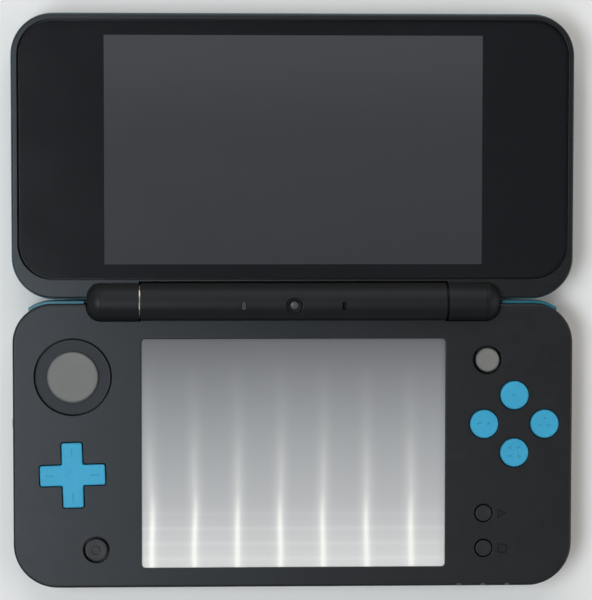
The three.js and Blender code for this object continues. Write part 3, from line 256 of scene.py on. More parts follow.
def quarter(axis, turns=1):
    """A turn by right angles about an axis."""
    return Matrix.Rotation(turns * math.pi / 2, 4, axis)


def along_x(y=0.0, z=HINGE_Z):
    return at(0, y, z) @ quarter("Y")


def along_y(x, y, z):
    return at(x, y, z) @ quarter("X", -1)


def out_of_barrel(x):
    return at(x, 0, HINGE_Z) @ Matrix.Rotation(BARREL_TILT, 4, "X")


def rod(place, radius, start, end, count=ROUND):
    return turned("cutter", [(0, start), (radius, start), (radius, end), (0, end)], place, count)


def combine(piece, tools, operation="DIFFERENCE"):
    """Cuts the tools from a piece, or joins them to it, and removes them."""
    for tool in tools:
        step = piece.modifiers.new("step", "BOOLEAN")
        step.operation = operation
        step.solver = "EXACT"
        step.object = tool
    graph = bpy.context.evaluated_depsgraph_get()
    data = bpy.data.meshes.new_from_object(piece.evaluated_get(graph))
    piece.modifiers.clear()
    piece.data = data
    for tool in tools:
        bpy.data.objects.remove(tool)
    tidy = bmesh.new()
    tidy.from_mesh(data)
    bmesh.ops.remove_doubles(tidy, verts=tidy.verts, dist=WELD)
    bmesh.ops.dissolve_degenerate(tidy, edges=tidy.edges, dist=WELD)
    tidy.to_mesh(data)
    tidy.free()


BARREL_TOLERANCE = 0.06


def finish_barrel(piece, radius, reach):
    """Gives the turned hinge surface of a piece the hinge's own finish."""
    piece.data.materials.append(HINGE)
    for face in piece.data.polygons:
        x, y, z = face.center / MM
        if abs(math.hypot(y, z - HINGE_Z) - radius) < BARREL_TOLERANCE and abs(x) < reach:
            face.material_index = 1


SHARP_ANGLE = math.radians(32)


def dress(piece, name, body, finish, node):
    """Names a piece, gives it its finish, and lets it ride on its body in place of a CAD node."""
    piece.name = name
    piece.data.materials.clear()
    piece.data.materials.append(finish)
    piece.data.shade_smooth()
    piece.data.set_sharp_from_angle(angle=SHARP_ANGLE)
    weighted = piece.modifiers.new("even shading", "WEIGHTED_NORMAL")
    weighted.keep_sharp = True
    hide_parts(node)
    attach(piece, body)


# Materials

def linear(red, green, blue):
    """A colour in the shader's linear light, from its eight-bit levels."""
    def channel(value):
        share = value / 255
        return share / 12.92 if share <= 0.04045 else ((share + 0.055) / 1.055) ** 2.4
    return (channel(red), channel(green), channel(blue), 1.0)


def scaled(colour, factor):
    return (colour[0] * factor, colour[1] * factor, colour[2] * factor, 1.0)


def fill_ramp(node, stops):
    elements = node.color_ramp.elements
    while len(elements) < len(stops):
        elements.new(0.5)
    for element, (position, colour) in zip(elements, stops):
        element.position = position
        element.color = colour


class Finish:
    """A material under construction: a shader with helpers for what drives it."""

    def __init__(self, name, roughness, metallic=0.0, coat=0.0, specular=0.5):
        self.material = bpy.data.materials.new(name)
        self.material.use_nodes = True
        self.tree = self.material.node_tree
        self.shader = self.tree.nodes["Principled BSDF"]
        self.preset(self.shader, Roughness=roughness, Metallic=metallic, Coat_Weight=coat,
                    Coat_Roughness=0.08, Specular_IOR_Level=specular)
        self.place = self.node("TexCoord").outputs["Object"]

    def preset(self, node, **values):
        """Sets inputs by name, with an underscore for each space."""
        for name, value in values.items():
            node.inputs[name.replace("_", " ")].default_value = value

    def node(self, kind, **values):
        node = self.tree.nodes.new("ShaderNode" + kind)
        self.preset(node, **values)
        return node

    def link(self, output, target):
        self.tree.links.new(output, target)

    def feed(self, sockets, *values):
        """Gives each socket its value, or a link where that is another node's output."""
        for socket, value in zip(sockets, values):
            if isinstance(value, (int, float, tuple)):
                socket.default_value = value
            else:
                self.link(value, socket)

    def noise(self, size_mm, detail=3.0, stretch=(1, 1, 1)):
        mapping = self.node("Mapping", Scale=[s / (size_mm * MM) for s in stretch])
        self.link(self.place, mapping.inputs["Vector"])
        noise = self.node("TexNoise", Scale=1.0, Detail=detail, Roughness=0.55)
        self.link(mapping.outputs["Vector"], noise.inputs["Vector"])
        return noise.outputs[0]

    def math(self, operation, first, second=0.0, clamp=False):
        node = self.node("Math")
        node.operation = operation
        node.use_clamp = clamp
        self.feed(node.inputs, first, second)
        return node.outputs[0]

    def ramp(self, factor, stops, smooth=False):
        node = self.node("ValToRGB")
        node.color_ramp.interpolation = "EASE" if smooth else "LINEAR"
        fill_ramp(node, stops)
        self.link(factor, node.inputs["Fac"])
        return node.outputs["Color"]

    def mix(self, factor, first, second, blend="MIX"):
        node = self.node("Mix")
        node.data_type = "RGBA"
        node.blend_type = blend
        self.feed([s for s in node.inputs if s.enabled], factor, first, second)
        return [s for s in node.outputs if s.enabled][0]

    def span(self, axis, start_mm, end_mm):
        """0 at start and 1 at end along an axis of the frame."""
        split = self.node("SeparateXYZ")
        self.link(self.place, split.inputs[0])
        node = self.node("MapRange", From_Min=start_mm * MM, From_Max=end_mm * MM)
        self.link(split.outputs["XYZ".index(axis)], node.inputs["Value"])
        return node.outputs["Result"]

    def colour(self, output):
        self.link(output, self.shader.inputs["Base Color"])

    def mottled(self, colour, spread=0.08, size_mm=9.0):
        stops = [(0.3, scaled(colour, 1 - spread)), (0.7, scaled(colour, 1 + spread))]
        return self.ramp(self.noise(size_mm), stops)

    def rough(self, low, high, size_mm=3.0):
        node = self.node("MapRange", From_Min=0.3, From_Max=0.7, To_Min=low, To_Max=high)
        self.link(self.noise(size_mm, detail=4.0), node.inputs["Value"])
        self.link(node.outputs["Result"], self.shader.inputs["Roughness"])

    def bump(self, height, depth_mm):
        node = self.node("Bump", Strength=1.0, Distance=depth_mm * MM)
        self.link(height, node.inputs["Height"])
        self.link(node.outputs["Normal"], self.shader.inputs["Normal"])


def moulded(name, colour, low, high, grain_mm=0.16, grain_depth=0.006, coat=0.0, spread=0.08, specular=0.5,
            sheen=(1, 1, 1, 1)):
    """Moulded plastic: spark-eroded grain, faint clouding of its colour and of its gloss."""
    finish = Finish(name, (low + high) / 2, coat=coat, specular=specular)
    finish.preset(finish.shader, Specular_Tint=sheen)
    finish.colour(finish.mottled(linear(*colour), spread))
    finish.rough(low, high)
    finish.bump(finish.noise(grain_mm, detail=2.0), grain_depth)
    return finish.material


def window_finish():
    finish = Finish("polished lid window", 0.07, specular=0.5)
    finish.colour(finish.mottled(linear(24, 25, 28), 0.06, 26.0))
    finish.rough(0.11, 0.14, 18.0)
    finish.bump(finish.noise(6.0, detail=1.0), 0.0006)
    return finish.material


def upper_display_finish():
    finish = Finish("unlit upper display", 0.12)
    fine = finish.mottled(linear(62, 62, 65), 0.05, 1.1)
    broad = finish.ramp(finish.span("Y", 10.5, 74.8), [(0.0, linear(56, 56, 59)), (0.5, linear(61, 61, 64)),
                                                       (1.0, linear(78, 78, 80))], smooth=True)
    finish.colour(finish.mix(0.5, fine, broad))
    finish.rough(0.09, 0.15, 14.0)
    finish.bump(finish.noise(1.4, detail=2.0), 0.0004)
    return finish.material


# Place, spacing and count of the painted highlight streaks on the touch film, and the count of its painted
# ripples
STREAK_X, STREAK_PITCH, STREAKS = -40.9, 12.43, 7
RIPPLES = 16


def touch_panel_finish():
    """A pale film with painted sheen that darkens towards the hinge, and painted highlights: soft upright
    streaks of reflected light, and faint ripples near the front.
    """
    low, high = box_mm("touch_panel")
    finish = Finish("touch film over the lower display", 0.4, specular=0.15)
    up = finish.span("Y", low.y, high.y)
    wander = finish.noise(34.0, detail=1.0, stretch=(0.5, 1, 1))
    wave = finish.math("MULTIPLY", finish.math("SUBTRACT", wander, 0.5), 0.3)
    start, end = STREAK_X - STREAK_PITCH, STREAK_X + STREAK_PITCH * (STREAKS + 1)
    across = finish.math("MULTIPLY", finish.span("X", start, end), STREAKS + 2.0)
    ridge = finish.math("COSINE", finish.math("MULTIPLY", finish.math("ADD", across, wave), 2 * math.pi))
    ridge = finish.math("ADD", finish.math("MULTIPLY", ridge, 0.5), 0.5)

    def fading(wave, power, levels):
        stops = [(position, (level, level, level, 1)) for position, level in levels]
        return finish.math("MULTIPLY", finish.math("POWER", wave, power), finish.ramp(up, stops))

    # Painted highlights: bright streak cores, their softer glow, and ripples near the front edge, standing
    # in for reflected lamps
    streak_highlight_core = fading(ridge, 24.0, [(0.0, 0.9), (0.2, 0.75), (0.34, 0.12), (0.6, 0.0)])
    glow = fading(ridge, 4.0, [(0.0, 0.3), (0.3, 0.24), (0.62, 0.06), (0.9, 0.0)])
    wavelet = finish.math("COSINE", finish.math("MULTIPLY", up, 2 * math.pi * RIPPLES))
    wavelet = finish.math("MAXIMUM", wavelet, 0.0)
    ripple_highlight = fading(wavelet, 2.0, [(0.0, 0.12), (0.2, 0.12), (0.28, 0.0), (1.0, 0.0)])
    # Painted sheen: the film's pale colour falls off towards the hinge
    film = finish.ramp(up, [(0.04, linear(219, 216, 214)), (0.3, linear(186, 185, 185)),
                            (0.6, linear(160, 160, 161)), (0.97, linear(111, 111, 113))])
    cloudy = finish.ramp(finish.noise(30.0, detail=0.0, stretch=(1, 0.35, 1)),
                         [(0.2, (0.95, 0.95, 0.95, 1)), (0.8, (1.05, 1.05, 1.05, 1))])
    film = finish.mix(1.0, film, cloudy, "MULTIPLY")
    pale = finish.math("ADD", finish.math("ADD", streak_highlight_core, glow), ripple_highlight, clamp=True)
    # The painted highlights lift the film towards near white
    finish.colour(finish.mix(pale, film, linear(254, 251, 244)))
    finish.bump(finish.noise(3.0, detail=1.0), 0.0006)
    return finish.material


def steel_finish(name, colour):
    finish = Finish(name, 0.3, metallic=1.0)
    finish.colour(finish.mottled(colour, 0.06, 1.6))
    finish.rough(0.24, 0.38, 0.5)
    finish.bump(finish.noise(0.25, stretch=(1, 1, 6)), 0.002)
    return finish.material


def board_finish():
    finish = Finish("solder-masked board", 0.45)
    tracks = finish.ramp(finish.noise(1.6, detail=0.0, stretch=(1, 5, 1)),
                         [(0.47, linear(30, 66, 50)), (0.53, linear(52, 92, 66))])
    finish.colour(tracks)
    finish.bump(finish.noise(0.8, detail=1.0), 0.01)
    return finish.material


COOL = (0.88, 0.94, 1.0, 1.0)
HINGE = moulded("hinge plastic", (24, 24, 25), 0.42, 0.48, specular=0.22, sheen=COOL)
SHELL = moulded("base shell plastic", (26, 26, 27), 0.37, 0.43, specular=0.36, sheen=COOL)
RIM = moulded("lid rim plastic", (23, 23, 24), 0.33, 0.38, specular=0.41, sheen=COOL)
PAD_SHELL = moulded("pad ring plastic", (25, 25, 26), 0.39, 0.45, specular=0.29, sheen=COOL)
# The turquoise is darker than the plastic's own colour: painted shade, for the shadow it sits in between
# lid and base
TURQUOISE_WITH_PAINTED_SHADE = moulded("turquoise plastic", (34, 102, 119), 0.26, 0.36, 0.2, 0.003, coat=0.2, spread=0.05)
WINDOW = window_finish()
UPPER = upper_display_finish()
TOUCH = touch_panel_finish()
BLUE = moulded("sky blue plastic", (62, 160, 197), 0.42, 0.52, 0.14, 0.004, spread=0.04,
               specular=0.18)
PAD = moulded("soft grey rubber", (115, 115, 113), 0.7, 0.82, 0.1, 0.01, spread=0.04,
              specular=0.3)
NUB = moulded("nub rubber", (118, 117, 114), 0.66, 0.8, 0.1, 0.008, spread=0.04,
              specular=0.3)
SMALL = moulded("small button plastic", (38, 38, 39), 0.36, 0.44, specular=0.28)
RUBBER = moulded("foot rubber", (30, 30, 31), 0.8, 0.92, 0.14, 0.012)
COVER = moulded("lid cover plastic", (28, 29, 31), 0.38, 0.42, 0.2, 0.006)
MODULE = moulded("module housing plastic", (58, 59, 61), 0.5, 0.62, 0.18, 0.008)
LENS = moulded("smoked lens", (92, 95, 98), 0.14, 0.22, 0.4, 0.001, coat=0.3)
INDICATOR = moulded("indicator lens", (56, 58, 60), 0.4, 0.5, 0.4, 0.001, specular=0.25)
BARE_GLASS = moulded("camera glass", (74, 78, 82), 0.16, 0.24, 0.5, 0.001, specular=0.3)
EYE = moulded("camera housing", (13, 13, 14), 0.45, 0.55, 0.3, 0.002, specular=0.15)
CELL = moulded("cell wrap", (84, 88, 92), 0.4, 0.5, 0.5, 0.004)
STEEL = steel_finish("bright steel", linear(196, 190, 176))
# Steel darkened to near black as painted shade, standing in for the shadow in the right hinge seam
STEEL_DARKENED_AS_SHADE = steel_finish("shade_darkened steel", linear(38, 38, 40))
BOARD = board_finish()


# Base shells

def base_outline():
    return rectangle(-HALF, HALF, FRONT_Y, REAR_Y, FRONT_RADIUS, REAR_RADIUS, steps=WIDE_ARC)


def barrel_room(side, inner, gap):
    """Room for an end barrel and its rounded cap, wider by a gap."""
    radius, length = END_RADIUS + gap, CAP_OUTER + gap - inner
    profile = [(0, 0), (radius, 0)]
    profile += [(radius - inset, z) for inset, z in rounded_top(length, CAP_ROUND + gap, CAP_ARC)]
    place = at(side * inner, 0, HINGE_Z) @ quarter("Y", side)
    return turned("cutter", profile + [(0, length)], place, WIDE_ROUND)


def end_troughs():
    return [barrel_room(side, SEAM - SEAM_GAP / 2, TROUGH_GAP) for side in (-1, 1)]


SCREEN_X = 43.0
SCREEN_CORNER = 1.0
SCREEN_LOW, SCREEN_HIGH = [v.y for v in box_mm("touch_panel")]
SCREEN_BORDER, SCREEN_LIP = 1.8, 0.25


def screen_outline():
    return rectangle(-SCREEN_X, SCREEN_X, SCREEN_LOW + SCREEN_BORDER, SCREEN_HIGH - SCREEN_BORDER,
                     SCREEN_CORNER)


# Places of the controls
PAD_AT = middle_of("slide_pad_ring")
CROSS_AT = middle_of("dpad_cross")
NUB_AT = middle_of("nub_base")
HOME_AT = middle_of("home_button")
OPTION_AT = [middle_of("start_button"), middle_of("select_button")]
FACE_NAMES = ("top", "left", "right", "bottom")
FACE_AT = {name: middle_of(f"face_button_{name}") for name in FACE_NAMES}

# Sizes of the controls, and the gaps around them
PAD_FLANGE = 1.2
PAD_GAP = 0.4
PAD_SINK = 0.16
PAD_RING = box_mm("slide_pad_ring")[1].x - PAD_AT.x - PAD_FLANGE
CROSS_SPAN, CROSS_ARM, CROSS_GAP = 18.3, 5.75, 0.33
CROSS_YAW = 0.028
CROSS_TIP, CROSS_CROOK = 0.6, 0.5
CROSS_HOLE_TIP, CROSS_HOLE_CROOK = 0.9, 0.4
CROSS_PLACE = at(CROSS_AT.x, CROSS_AT.y) @ Matrix.Rotation(CROSS_YAW, 4, "Z")
MARK_REACH, MARK_SIZE, MARK_CORNER = 5.4, 2.7, 0.1
GROOVE_WIDTH, GROOVE_DEPTH = 0.42, 0.45
HOME_MARK = 1.35
FACE_RADIUS, HOME_RADIUS, OPTION_RADIUS, NUB_RADIUS = 4.0, 3.1, 2.25, 3.3
FACE_GAP, HOME_GAP, OPTION_GAP, NUB_GAP = 0.22, 0.65, 0.35, 0.73
TIGHT_LIP, BUTTON_LIP, SOFT_LIP = 0.05, 0.15, 0.2


def control_openings():
    def hole(outline, lip, place=HERE):
        return opening(outline, UNDER_FACE_Z - ABOVE, FACE_Z, lip, place)

    def ring(place, radius, lip, count=ROUND):
        return hole(circle(place.x, place.y, radius, count), lip)

    cross = cross_outline(CROSS_SPAN + 2 * CROSS_GAP, CROSS_ARM + 2 * CROSS_GAP, CROSS_HOLE_TIP,
                          CROSS_HOLE_CROOK)
    holes = [
        ring(PAD_AT, PAD_RING + PAD_GAP, TIGHT_LIP, WIDE_ROUND),
        hole(cross, TIGHT_LIP, CROSS_PLACE),
        ring(HOME_AT, HOME_RADIUS + HOME_GAP, BUTTON_LIP),
        ring(NUB_AT, NUB_RADIUS + NUB_GAP, SOFT_LIP),
    ]
    holes += [ring(place, FACE_RADIUS + FACE_GAP, BUTTON_LIP) for place in FACE_AT.values()]
    holes += [ring(place, OPTION_RADIUS + OPTION_GAP, SOFT_LIP) for place in OPTION_AT]
    return holes


def engraved(outline, top):
    """A closed groove that follows an outline just below a level."""
    floor, over = top - GROOVE_DEPTH, top + ABOVE
    return loft("groove", outline, [(0, floor), (0, over), (GROOVE_WIDTH, over), (GROOVE_WIDTH, floor)],
                ring=True)


def option_marks():
    start, select = [p + Vector((MARK_REACH, 0, 0)) for p in OPTION_AT]
    half = MARK_SIZE / 2
    corners = ((-half, -half), (half, 0), (-half, half))
    triangle = filleted([(start.x + x, start.y + y, MARK_CORNER) for x, y in corners], 3)
    square = centred(select.x, select.y, MARK_SIZE, MARK_SIZE, 2 * MARK_CORNER, 3)
    return [engraved(triangle, FACE_Z), engraved(square, FACE_Z)]


# Width, depth and corner radius of the slots, and the camera's radius
LENS_HOLE, MIC_HOLE, EYE_HOLE = (1.5, 2.6, 0.55), (1.2, 2.4, 0.5), 2.25


def barrel_openings():
    low, slot_top = BORE_RADIUS - ABOVE, BARREL_RADIUS - 0.05
    lens, mic = centred(0, 0, *LENS_HOLE, SMALL_ARC), centred(0, 0, *MIC_HOLE, SMALL_ARC)
    eye = circle(0, 0, EYE_HOLE, SMALL_ROUND)
    return [
        opening(lens, low, slot_top, 0.1, out_of_barrel(-FEATURE_SPAN)),
        opening(eye, low, BARREL_RADIUS - 0.1, 0.3, out_of_barrel(0)),
        opening(mic, low, slot_top, 0.1, out_of_barrel(FEATURE_SPAN)),
    ]


CARD_LOW, CARD_HIGH = box_mm("card_connector")
COVER_LOW, COVER_HIGH = box_mm("card_cover")
JACK_AT = middle_of("headphone_jack")
PEN_AT = middle_of("stylus")
CHARGE_AT = middle_of("charge_port")
COVER_PIN = 0.7
FLAP_THICK = 0.9
CARD_WALL = 1.0
CARD_FLOOR_Z, CARD_ROOF_Z = 2.1, 6.4
FLAP_FLOOR_Z, FLAP_ROOF_Z = 1.65, 7.1
SOCKET_Z = 4.4
SOCKET_DEPTH = 3.5
JACK_HOLE, PEN_HOLE = 1.9, 2.5
CHARGE_WIDTH, CHARGE_HEIGHT, CHARGE_CORNER, CHARGE_BEVEL = 7.3, 3.3, 0.6, 0.35


def wall_openings():
    outer, inner = FRONT_Y - ABOVE, FRONT_Y + WALL + ABOVE
    left, right = COVER_LOW.x + COVER_PIN - FIT, COVER_HIGH.x - COVER_PIN + FIT
    return [
        block(CARD_LOW.x + CARD_WALL, CARD_HIGH.x - CARD_WALL, outer, inner, CARD_FLOOR_Z, CARD_ROOF_Z),
        block(left, right, outer, FRONT_Y + FLAP_THICK + FIT, FLAP_FLOOR_Z, FLAP_ROOF_Z),
        rod(along_y(JACK_AT.x, outer, SOCKET_Z), JACK_HOLE, 0, SOCKET_DEPTH, SMALL_ROUND),
        rod(along_y(PEN_AT.x, outer, SOCKET_Z), PEN_HOLE, 0, SOCKET_DEPTH, SMALL_ROUND),
    ]


def charge_opening():
    slot = centred(0, 0, CHARGE_WIDTH, CHARGE_HEIGHT, CHARGE_CORNER, SMALL_ARC)
    levels = [(-CHARGE_BEVEL, -0.4), (-CHARGE_BEVEL, 0), (0, CHARGE_BEVEL), (0, SOCKET_DEPTH)]
    inwards = at(CHARGE_AT.x, REAR_Y, SOCKET_Z) @ quarter("X")
    return loft("cutter", slot, levels, inwards)


SHOULDER_SWEEP = 1.2
SHOULDER_ROOM = 0.3


def shoulder_pocket(side):
    low, high = box_mm("shoulder_button_left")
    x0, x1 = sorted((side * (abs(high.x) - FIT), side * (abs(low.x) + FIT)))
    return block(x0, x1, low.y - SHOULDER_SWEEP, REAR_Y + ABOVE, low.z - SHOULDER_ROOM,
                 high.z + SHOULDER_ROOM)


POWER_LOW, POWER_HIGH = box_mm("power_button")
POWER_X, POWER_Z = (POWER_LOW.x + POWER_HIGH.x) / 2, (POWER_LOW.z + POWER_HIGH.z) / 2
POWER_HOLE_WIDTH, POWER_HOLE_HEIGHT = 6.6, 2.4
KNOB_LOW, KNOB_HIGH = box_mm("volume_knob")
KNOB_AT = middle_of("volume_knob")
KNOB_LENGTH, KNOB_TRAVEL, KNOB_HEIGHT, KNOB_GAP = 2.6, 5.0, 1.4, 0.3
HOLE_BEVEL, HOLE_DEPTH = 0.25, 3
LIGHT_PITCH = 6.9
LIGHTS_X = [middle_of("light_guide").x + k * LIGHT_PITCH for k in (-1, 0, 1)]
LIGHT_WIDTH, LIGHT_DEPTH, LIGHT_GAP = 1.1, 0.75, 0.06
LIGHT_REACH = 2.5


def side_openings():
    power = centred(0, 0, POWER_HOLE_WIDTH, POWER_HOLE_HEIGHT, 0.5, SMALL_ARC)
    half, high = KNOB_LENGTH / 2 + KNOB_GAP, KNOB_HEIGHT / 2 + KNOB_GAP
    knob = rectangle(-half, half + KNOB_TRAVEL, -high, high, 0.4, steps=SMALL_ARC)
    sideways = at(-HALF, KNOB_AT.y, KNOB_AT.z) @ quarter("Z", -1) @ quarter("X", -1)
    levels = [(-HOLE_BEVEL, 0), (0, HOLE_BEVEL), (0, HOLE_DEPTH)]
    tools = [
        loft("cutter", power, [(-HOLE_BEVEL, -0.5)] + levels, along_y(POWER_X, FRONT_Y, POWER_Z)),
        loft("cutter", knob, [(-HOLE_BEVEL, -HOLE_DEPTH)] + levels, sideways),
    ]
    side, inner = LIGHT_WIDTH / 2 + LIGHT_GAP, FRONT_Y + LIGHT_DEPTH + LIGHT_GAP
    for x in LIGHTS_X:
        tools.append(block(x - side, x + side, FRONT_Y + 0.1, inner, FACE_Z - 1.1, FACE_Z + ABOVE))
        tools.append(block(x - side, x + side, FRONT_Y + 0.5, FRONT_Y + LIGHT_REACH, UNDER_FACE_Z - 0.4,
                           FACE_Z - 0.9))
    return tools


def rear_openings():
    return [charge_opening(), shoulder_pocket(-1), shoulder_pocket(1)]


def centre_barrel(left, right):
    edge, chamfer = 0.3, 0.09
    radii = [0, BARREL_RADIUS - edge, BARREL_RADIUS - chamfer, BARREL_RADIUS]
    start = list(zip(radii, (left, left, left + chamfer, left + edge)))
    end = list(zip(radii, (right, right, right - chamfer, right - edge)))
    return turned("barrel", start + end[::-1], along_x(), WIDE_ROUND)


def base_face():
    levels = [(SEAM_EDGE, PARTING_Z), (0, PARTING_Z + SEAM_EDGE)] + rounded_top(FACE_Z, FACE_BEVEL, 6)
    piece = loft("base_face", base_outline(), levels)
    cavity = loft("cutter", base_outline(), [(WALL, PARTING_Z - ABOVE), (WALL, UNDER_FACE_Z)])
    combine(piece, [cavity, *end_troughs()])
    left, right = SEAM_GAP / 2 - SEAM, SEAM - SEAM_GAP / 2
    combine(piece, [centre_barrel(left, right)], "UNION")
    under = UNDER_FACE_Z - ABOVE
    window = opening(screen_outline(), under, FACE_Z, SCREEN_LIP)
    low, high = box_mm("touch_panel")
    pocket = block(low.x - FIT, high.x + FIT, low.y - FIT, high.y + FIT, under, TOUCH_TOP_Z + 0.1)
    bore = rod(along_x(), BORE_RADIUS, left - ABOVE, right + ABOVE)
    combine(piece, [bore, window, pocket, *control_openings(), *option_marks(), *barrel_openings(),
                    *wall_openings(), *rear_openings(), *side_openings()])
    dress(piece, "base_face", "base", SHELL, "base_top_shell")
    finish_barrel(piece, BARREL_RADIUS, SEAM)


FOOT_RADIUS, FOOT_HEIGHT = 3.0, 0.8
SCREW_RADIUS, SCREW_HEAD = 1.5, 0.9
GLASS_CORNER = 3.05
SLOTS, SLOT_PITCH, SLOT_LENGTH, SLOT_WIDTH = 5, 1.9, 7, 0.9
SLIT_HALF, SLIT_DEPTH, SLIT_Z = 6.3, 2.5, 2.6


def from_below(outline, bevel, end):
    """A bevelled hole in the underside, up to a level."""
    start = BASE_LOW.z
    levels = [(-bevel, start - ABOVE), (-bevel, start), (0, start + bevel), (0, end)]
    return loft("cutter", outline, levels)


def underside_openings():
    tools = []
    for i in range(1, 5):
        pad, head = middle_of(f"foot_{i}"), middle_of(f"screw_{i}")
        tools.append(from_below(circle(pad.x, pad.y, FOOT_RADIUS + FIT, SMALL_ROUND), 0.15, 0.9))
        tools.append(from_below(circle(head.x, head.y, SCREW_RADIUS + FIT, SMALL_ROUND), 0.2, 2.0))
    low, high = box_mm("outer_camera_window")
    recess = rectangle(low.x - FIT, high.x + FIT, low.y - FIT, high.y + FIT, GLASS_CORNER + FIT)
    tools.append(from_below(recess, 0.2, 1.5))
    for side in ("left", "right"):
        speaker, key = middle_of(f"speaker_{side}"), middle_of(f"trigger_{side}")
        for k in range(SLOTS):
            slot_y = speaker.y + (k - SLOTS // 2) * SLOT_PITCH
            slot = centred(speaker.x, slot_y, SLOT_LENGTH, SLOT_WIDTH, 0.44, SMALL_ARC)
            tools.append(from_below(slot, 0.12, FLOOR_Z + ABOVE))
        tools.append(block(key.x - SLIT_HALF, key.x + SLIT_HALF, REAR_Y - SLIT_DEPTH, REAR_Y + ABOVE,
                           SLIT_Z, BASE_HIGH.z + ABOVE))
    return tools


def base_floor():
    levels = rounded_low(BASE_LOW.z, FLOOR_BEVEL, FLOOR_ARC)
    levels += [(0, BASE_HIGH.z - SEAM_EDGE), (SEAM_EDGE, BASE_HIGH.z)]
    piece = loft("base_floor", base_outline(), levels)
    cavity = loft("cutter", base_outline(), [(WALL, FLOOR_Z), (WALL, BASE_HIGH.z + ABOVE)])
    combine(piece, [cavity, *end_troughs()])
    combine(piece, [*wall_openings(), *rear_openings(), *underside_openings()])
    dress(piece, "base_floor", "base", SHELL, "base_bottom_shell")


# Controls

BUTTON_FLANGE = 0.5
BUTTON_EDGE = 0.6
PIT = [(0, -0.26), (0.25, -0.24), (0.45, -0.15), (0.62, 0)]


def push_button(name, node, body, radius, proud, dish, finish, pips=(), ring=0):
    """A button with a flange under the face, and a dished top with dents or a ring in it."""
    low, high = box_mm(node)
    centre = (low + high) / 2
    flange, flange_top = high.x - centre.x, low.z + BUTTON_FLANGE
    top = FACE_Z + proud
    profile = [(0, low.z), (flange, low.z), (flange, flange_top), (radius, flange_top)]
    profile += [(radius - inset, z) for inset, z in rounded_top(top, proud * BUTTON_EDGE, 6)]
    profile += [(radius * share, top - dish * (1 - share ** 2) * 0.9) for share in (0.75, 0.55, 0.35, 0.15)]
    profile += [(0, top - dish * 0.9)]
    piece = turned(name, profile, at(centre.x, centre.y), KEY_ROUND)
    pit = raised(PIT, top - dish) + [(0.7, top + ABOVE), (0, top + ABOVE)]
    tools = [turned("pit", pit, at(centre.x + x, centre.y + y), PIN_ROUND) for x, y in pips]
    if ring:
        tools.append(engraved(circle(centre.x, centre.y, ring, SMALL_ROUND), top))
    if tools:
        combine(piece, tools)
    dress(piece, name, body, finish, node)


PIP = 1.25
PIP_SIDE = PIP * 0.87
PIP_MARKS = {
    "top": [(0, 0)],
    "left": [(-PIP, 0), (PIP, 0)],
    "right": [(0, PIP), (-PIP_SIDE, -PIP / 2), (PIP_SIDE, -PIP / 2)],
    "bottom": [(-PIP, PIP), (PIP, PIP), (-PIP, -PIP), (PIP, -PIP)],
}
FACE_PROUD, FACE_DISH = 0.9, 0.1
SMALL_PROUD, SMALL_DISH = 0.3, 0.05


def buttons():
    for name in FACE_NAMES:
        push_button(f"action_button_{name}", f"face_button_{name}", f"button_{name}", FACE_RADIUS,
                    FACE_PROUD, FACE_DISH, BLUE, PIP_MARKS[name])
    for name, radius, ring in (("home", HOME_RADIUS, HOME_MARK), ("start", OPTION_RADIUS, 0),
                               ("select", OPTION_RADIUS, 0)):
        push_button(f"{name}_key", f"{name}_button", name, radius, SMALL_PROUD, SMALL_DISH,
                    SMALL, ring=ring)


CROSS_FOOT, CROSS_FLANGE = 7.2, 0.6
CROSS_DISH = [(0, -0.12), (0.8, -0.11), (1.5, -0.07), (2.1, -0.01), (2.4, ABOVE), (0, ABOVE)]
TICK = [(0.1, -0.16), (0, -0.04), (-0.05, ABOVE)]
TICK_REACH, TICK_WIDTH, TICK_LENGTH = 6.4, 0.36, 2.6


def directional_cross():
    low, high = box_mm("dpad_cross")
    levels = [(0, low.z)] + rounded_top(high.z, 0.4, 6)
    outline = cross_outline(CROSS_SPAN, CROSS_ARM, CROSS_TIP, CROSS_CROOK)
    piece = loft("cross", outline, levels, CROSS_PLACE)
    combine(piece, [rod(CROSS_PLACE, CROSS_FOOT, low.z, low.z + CROSS_FLANGE)], "UNION")
    tools = [turned("dish", raised(CROSS_DISH, high.z), CROSS_PLACE)]
    groove = centred(0, 0, TICK_WIDTH, TICK_LENGTH, 0.17, 4)
    for turns in range(4):
        arm = CROSS_PLACE @ quarter("Z", turns) @ at(0, TICK_REACH)
        tools.append(loft("groove", groove, raised(TICK, high.z), arm))
    combine(piece, tools)
    dress(piece, "directional_cross", "cross", BLUE, "dpad_cross")


PAD_BORE = 5.2
PAD_LOW_Z = 11.1
PAD_STEP = 0.6
PAD_DISH = 0.3
PAD_EDGE_SHARE = 0.87


def pad_ring():
    low = box_mm("slide_pad_ring")[0]
    inner, outer = PAD_BORE, PAD_RING
    skirt, rim = outer - 0.67, outer + PAD_FLANGE
    floor, flange_top = FACE_Z - PAD_SINK, low.z + PAD_STEP
    profile = [(inner, PAD_LOW_Z), (inner, floor - 0.08), (inner + 0.08, floor), (outer - 0.5, floor),
               (outer - 0.3, floor + 0.02), (outer - 0.12, floor + 0.02), (outer, floor - 0.1),
               (outer, flange_top), (rim, flange_top), (rim, low.z), (skirt, low.z), (skirt, PAD_LOW_Z)]
    ring = turned("pad_bezel", profile, at(PAD_AT.x, PAD_AT.y), WIDE_ROUND, ring=True)
    dress(ring, "pad_bezel", "base", PAD_SHELL, "slide_pad_ring")


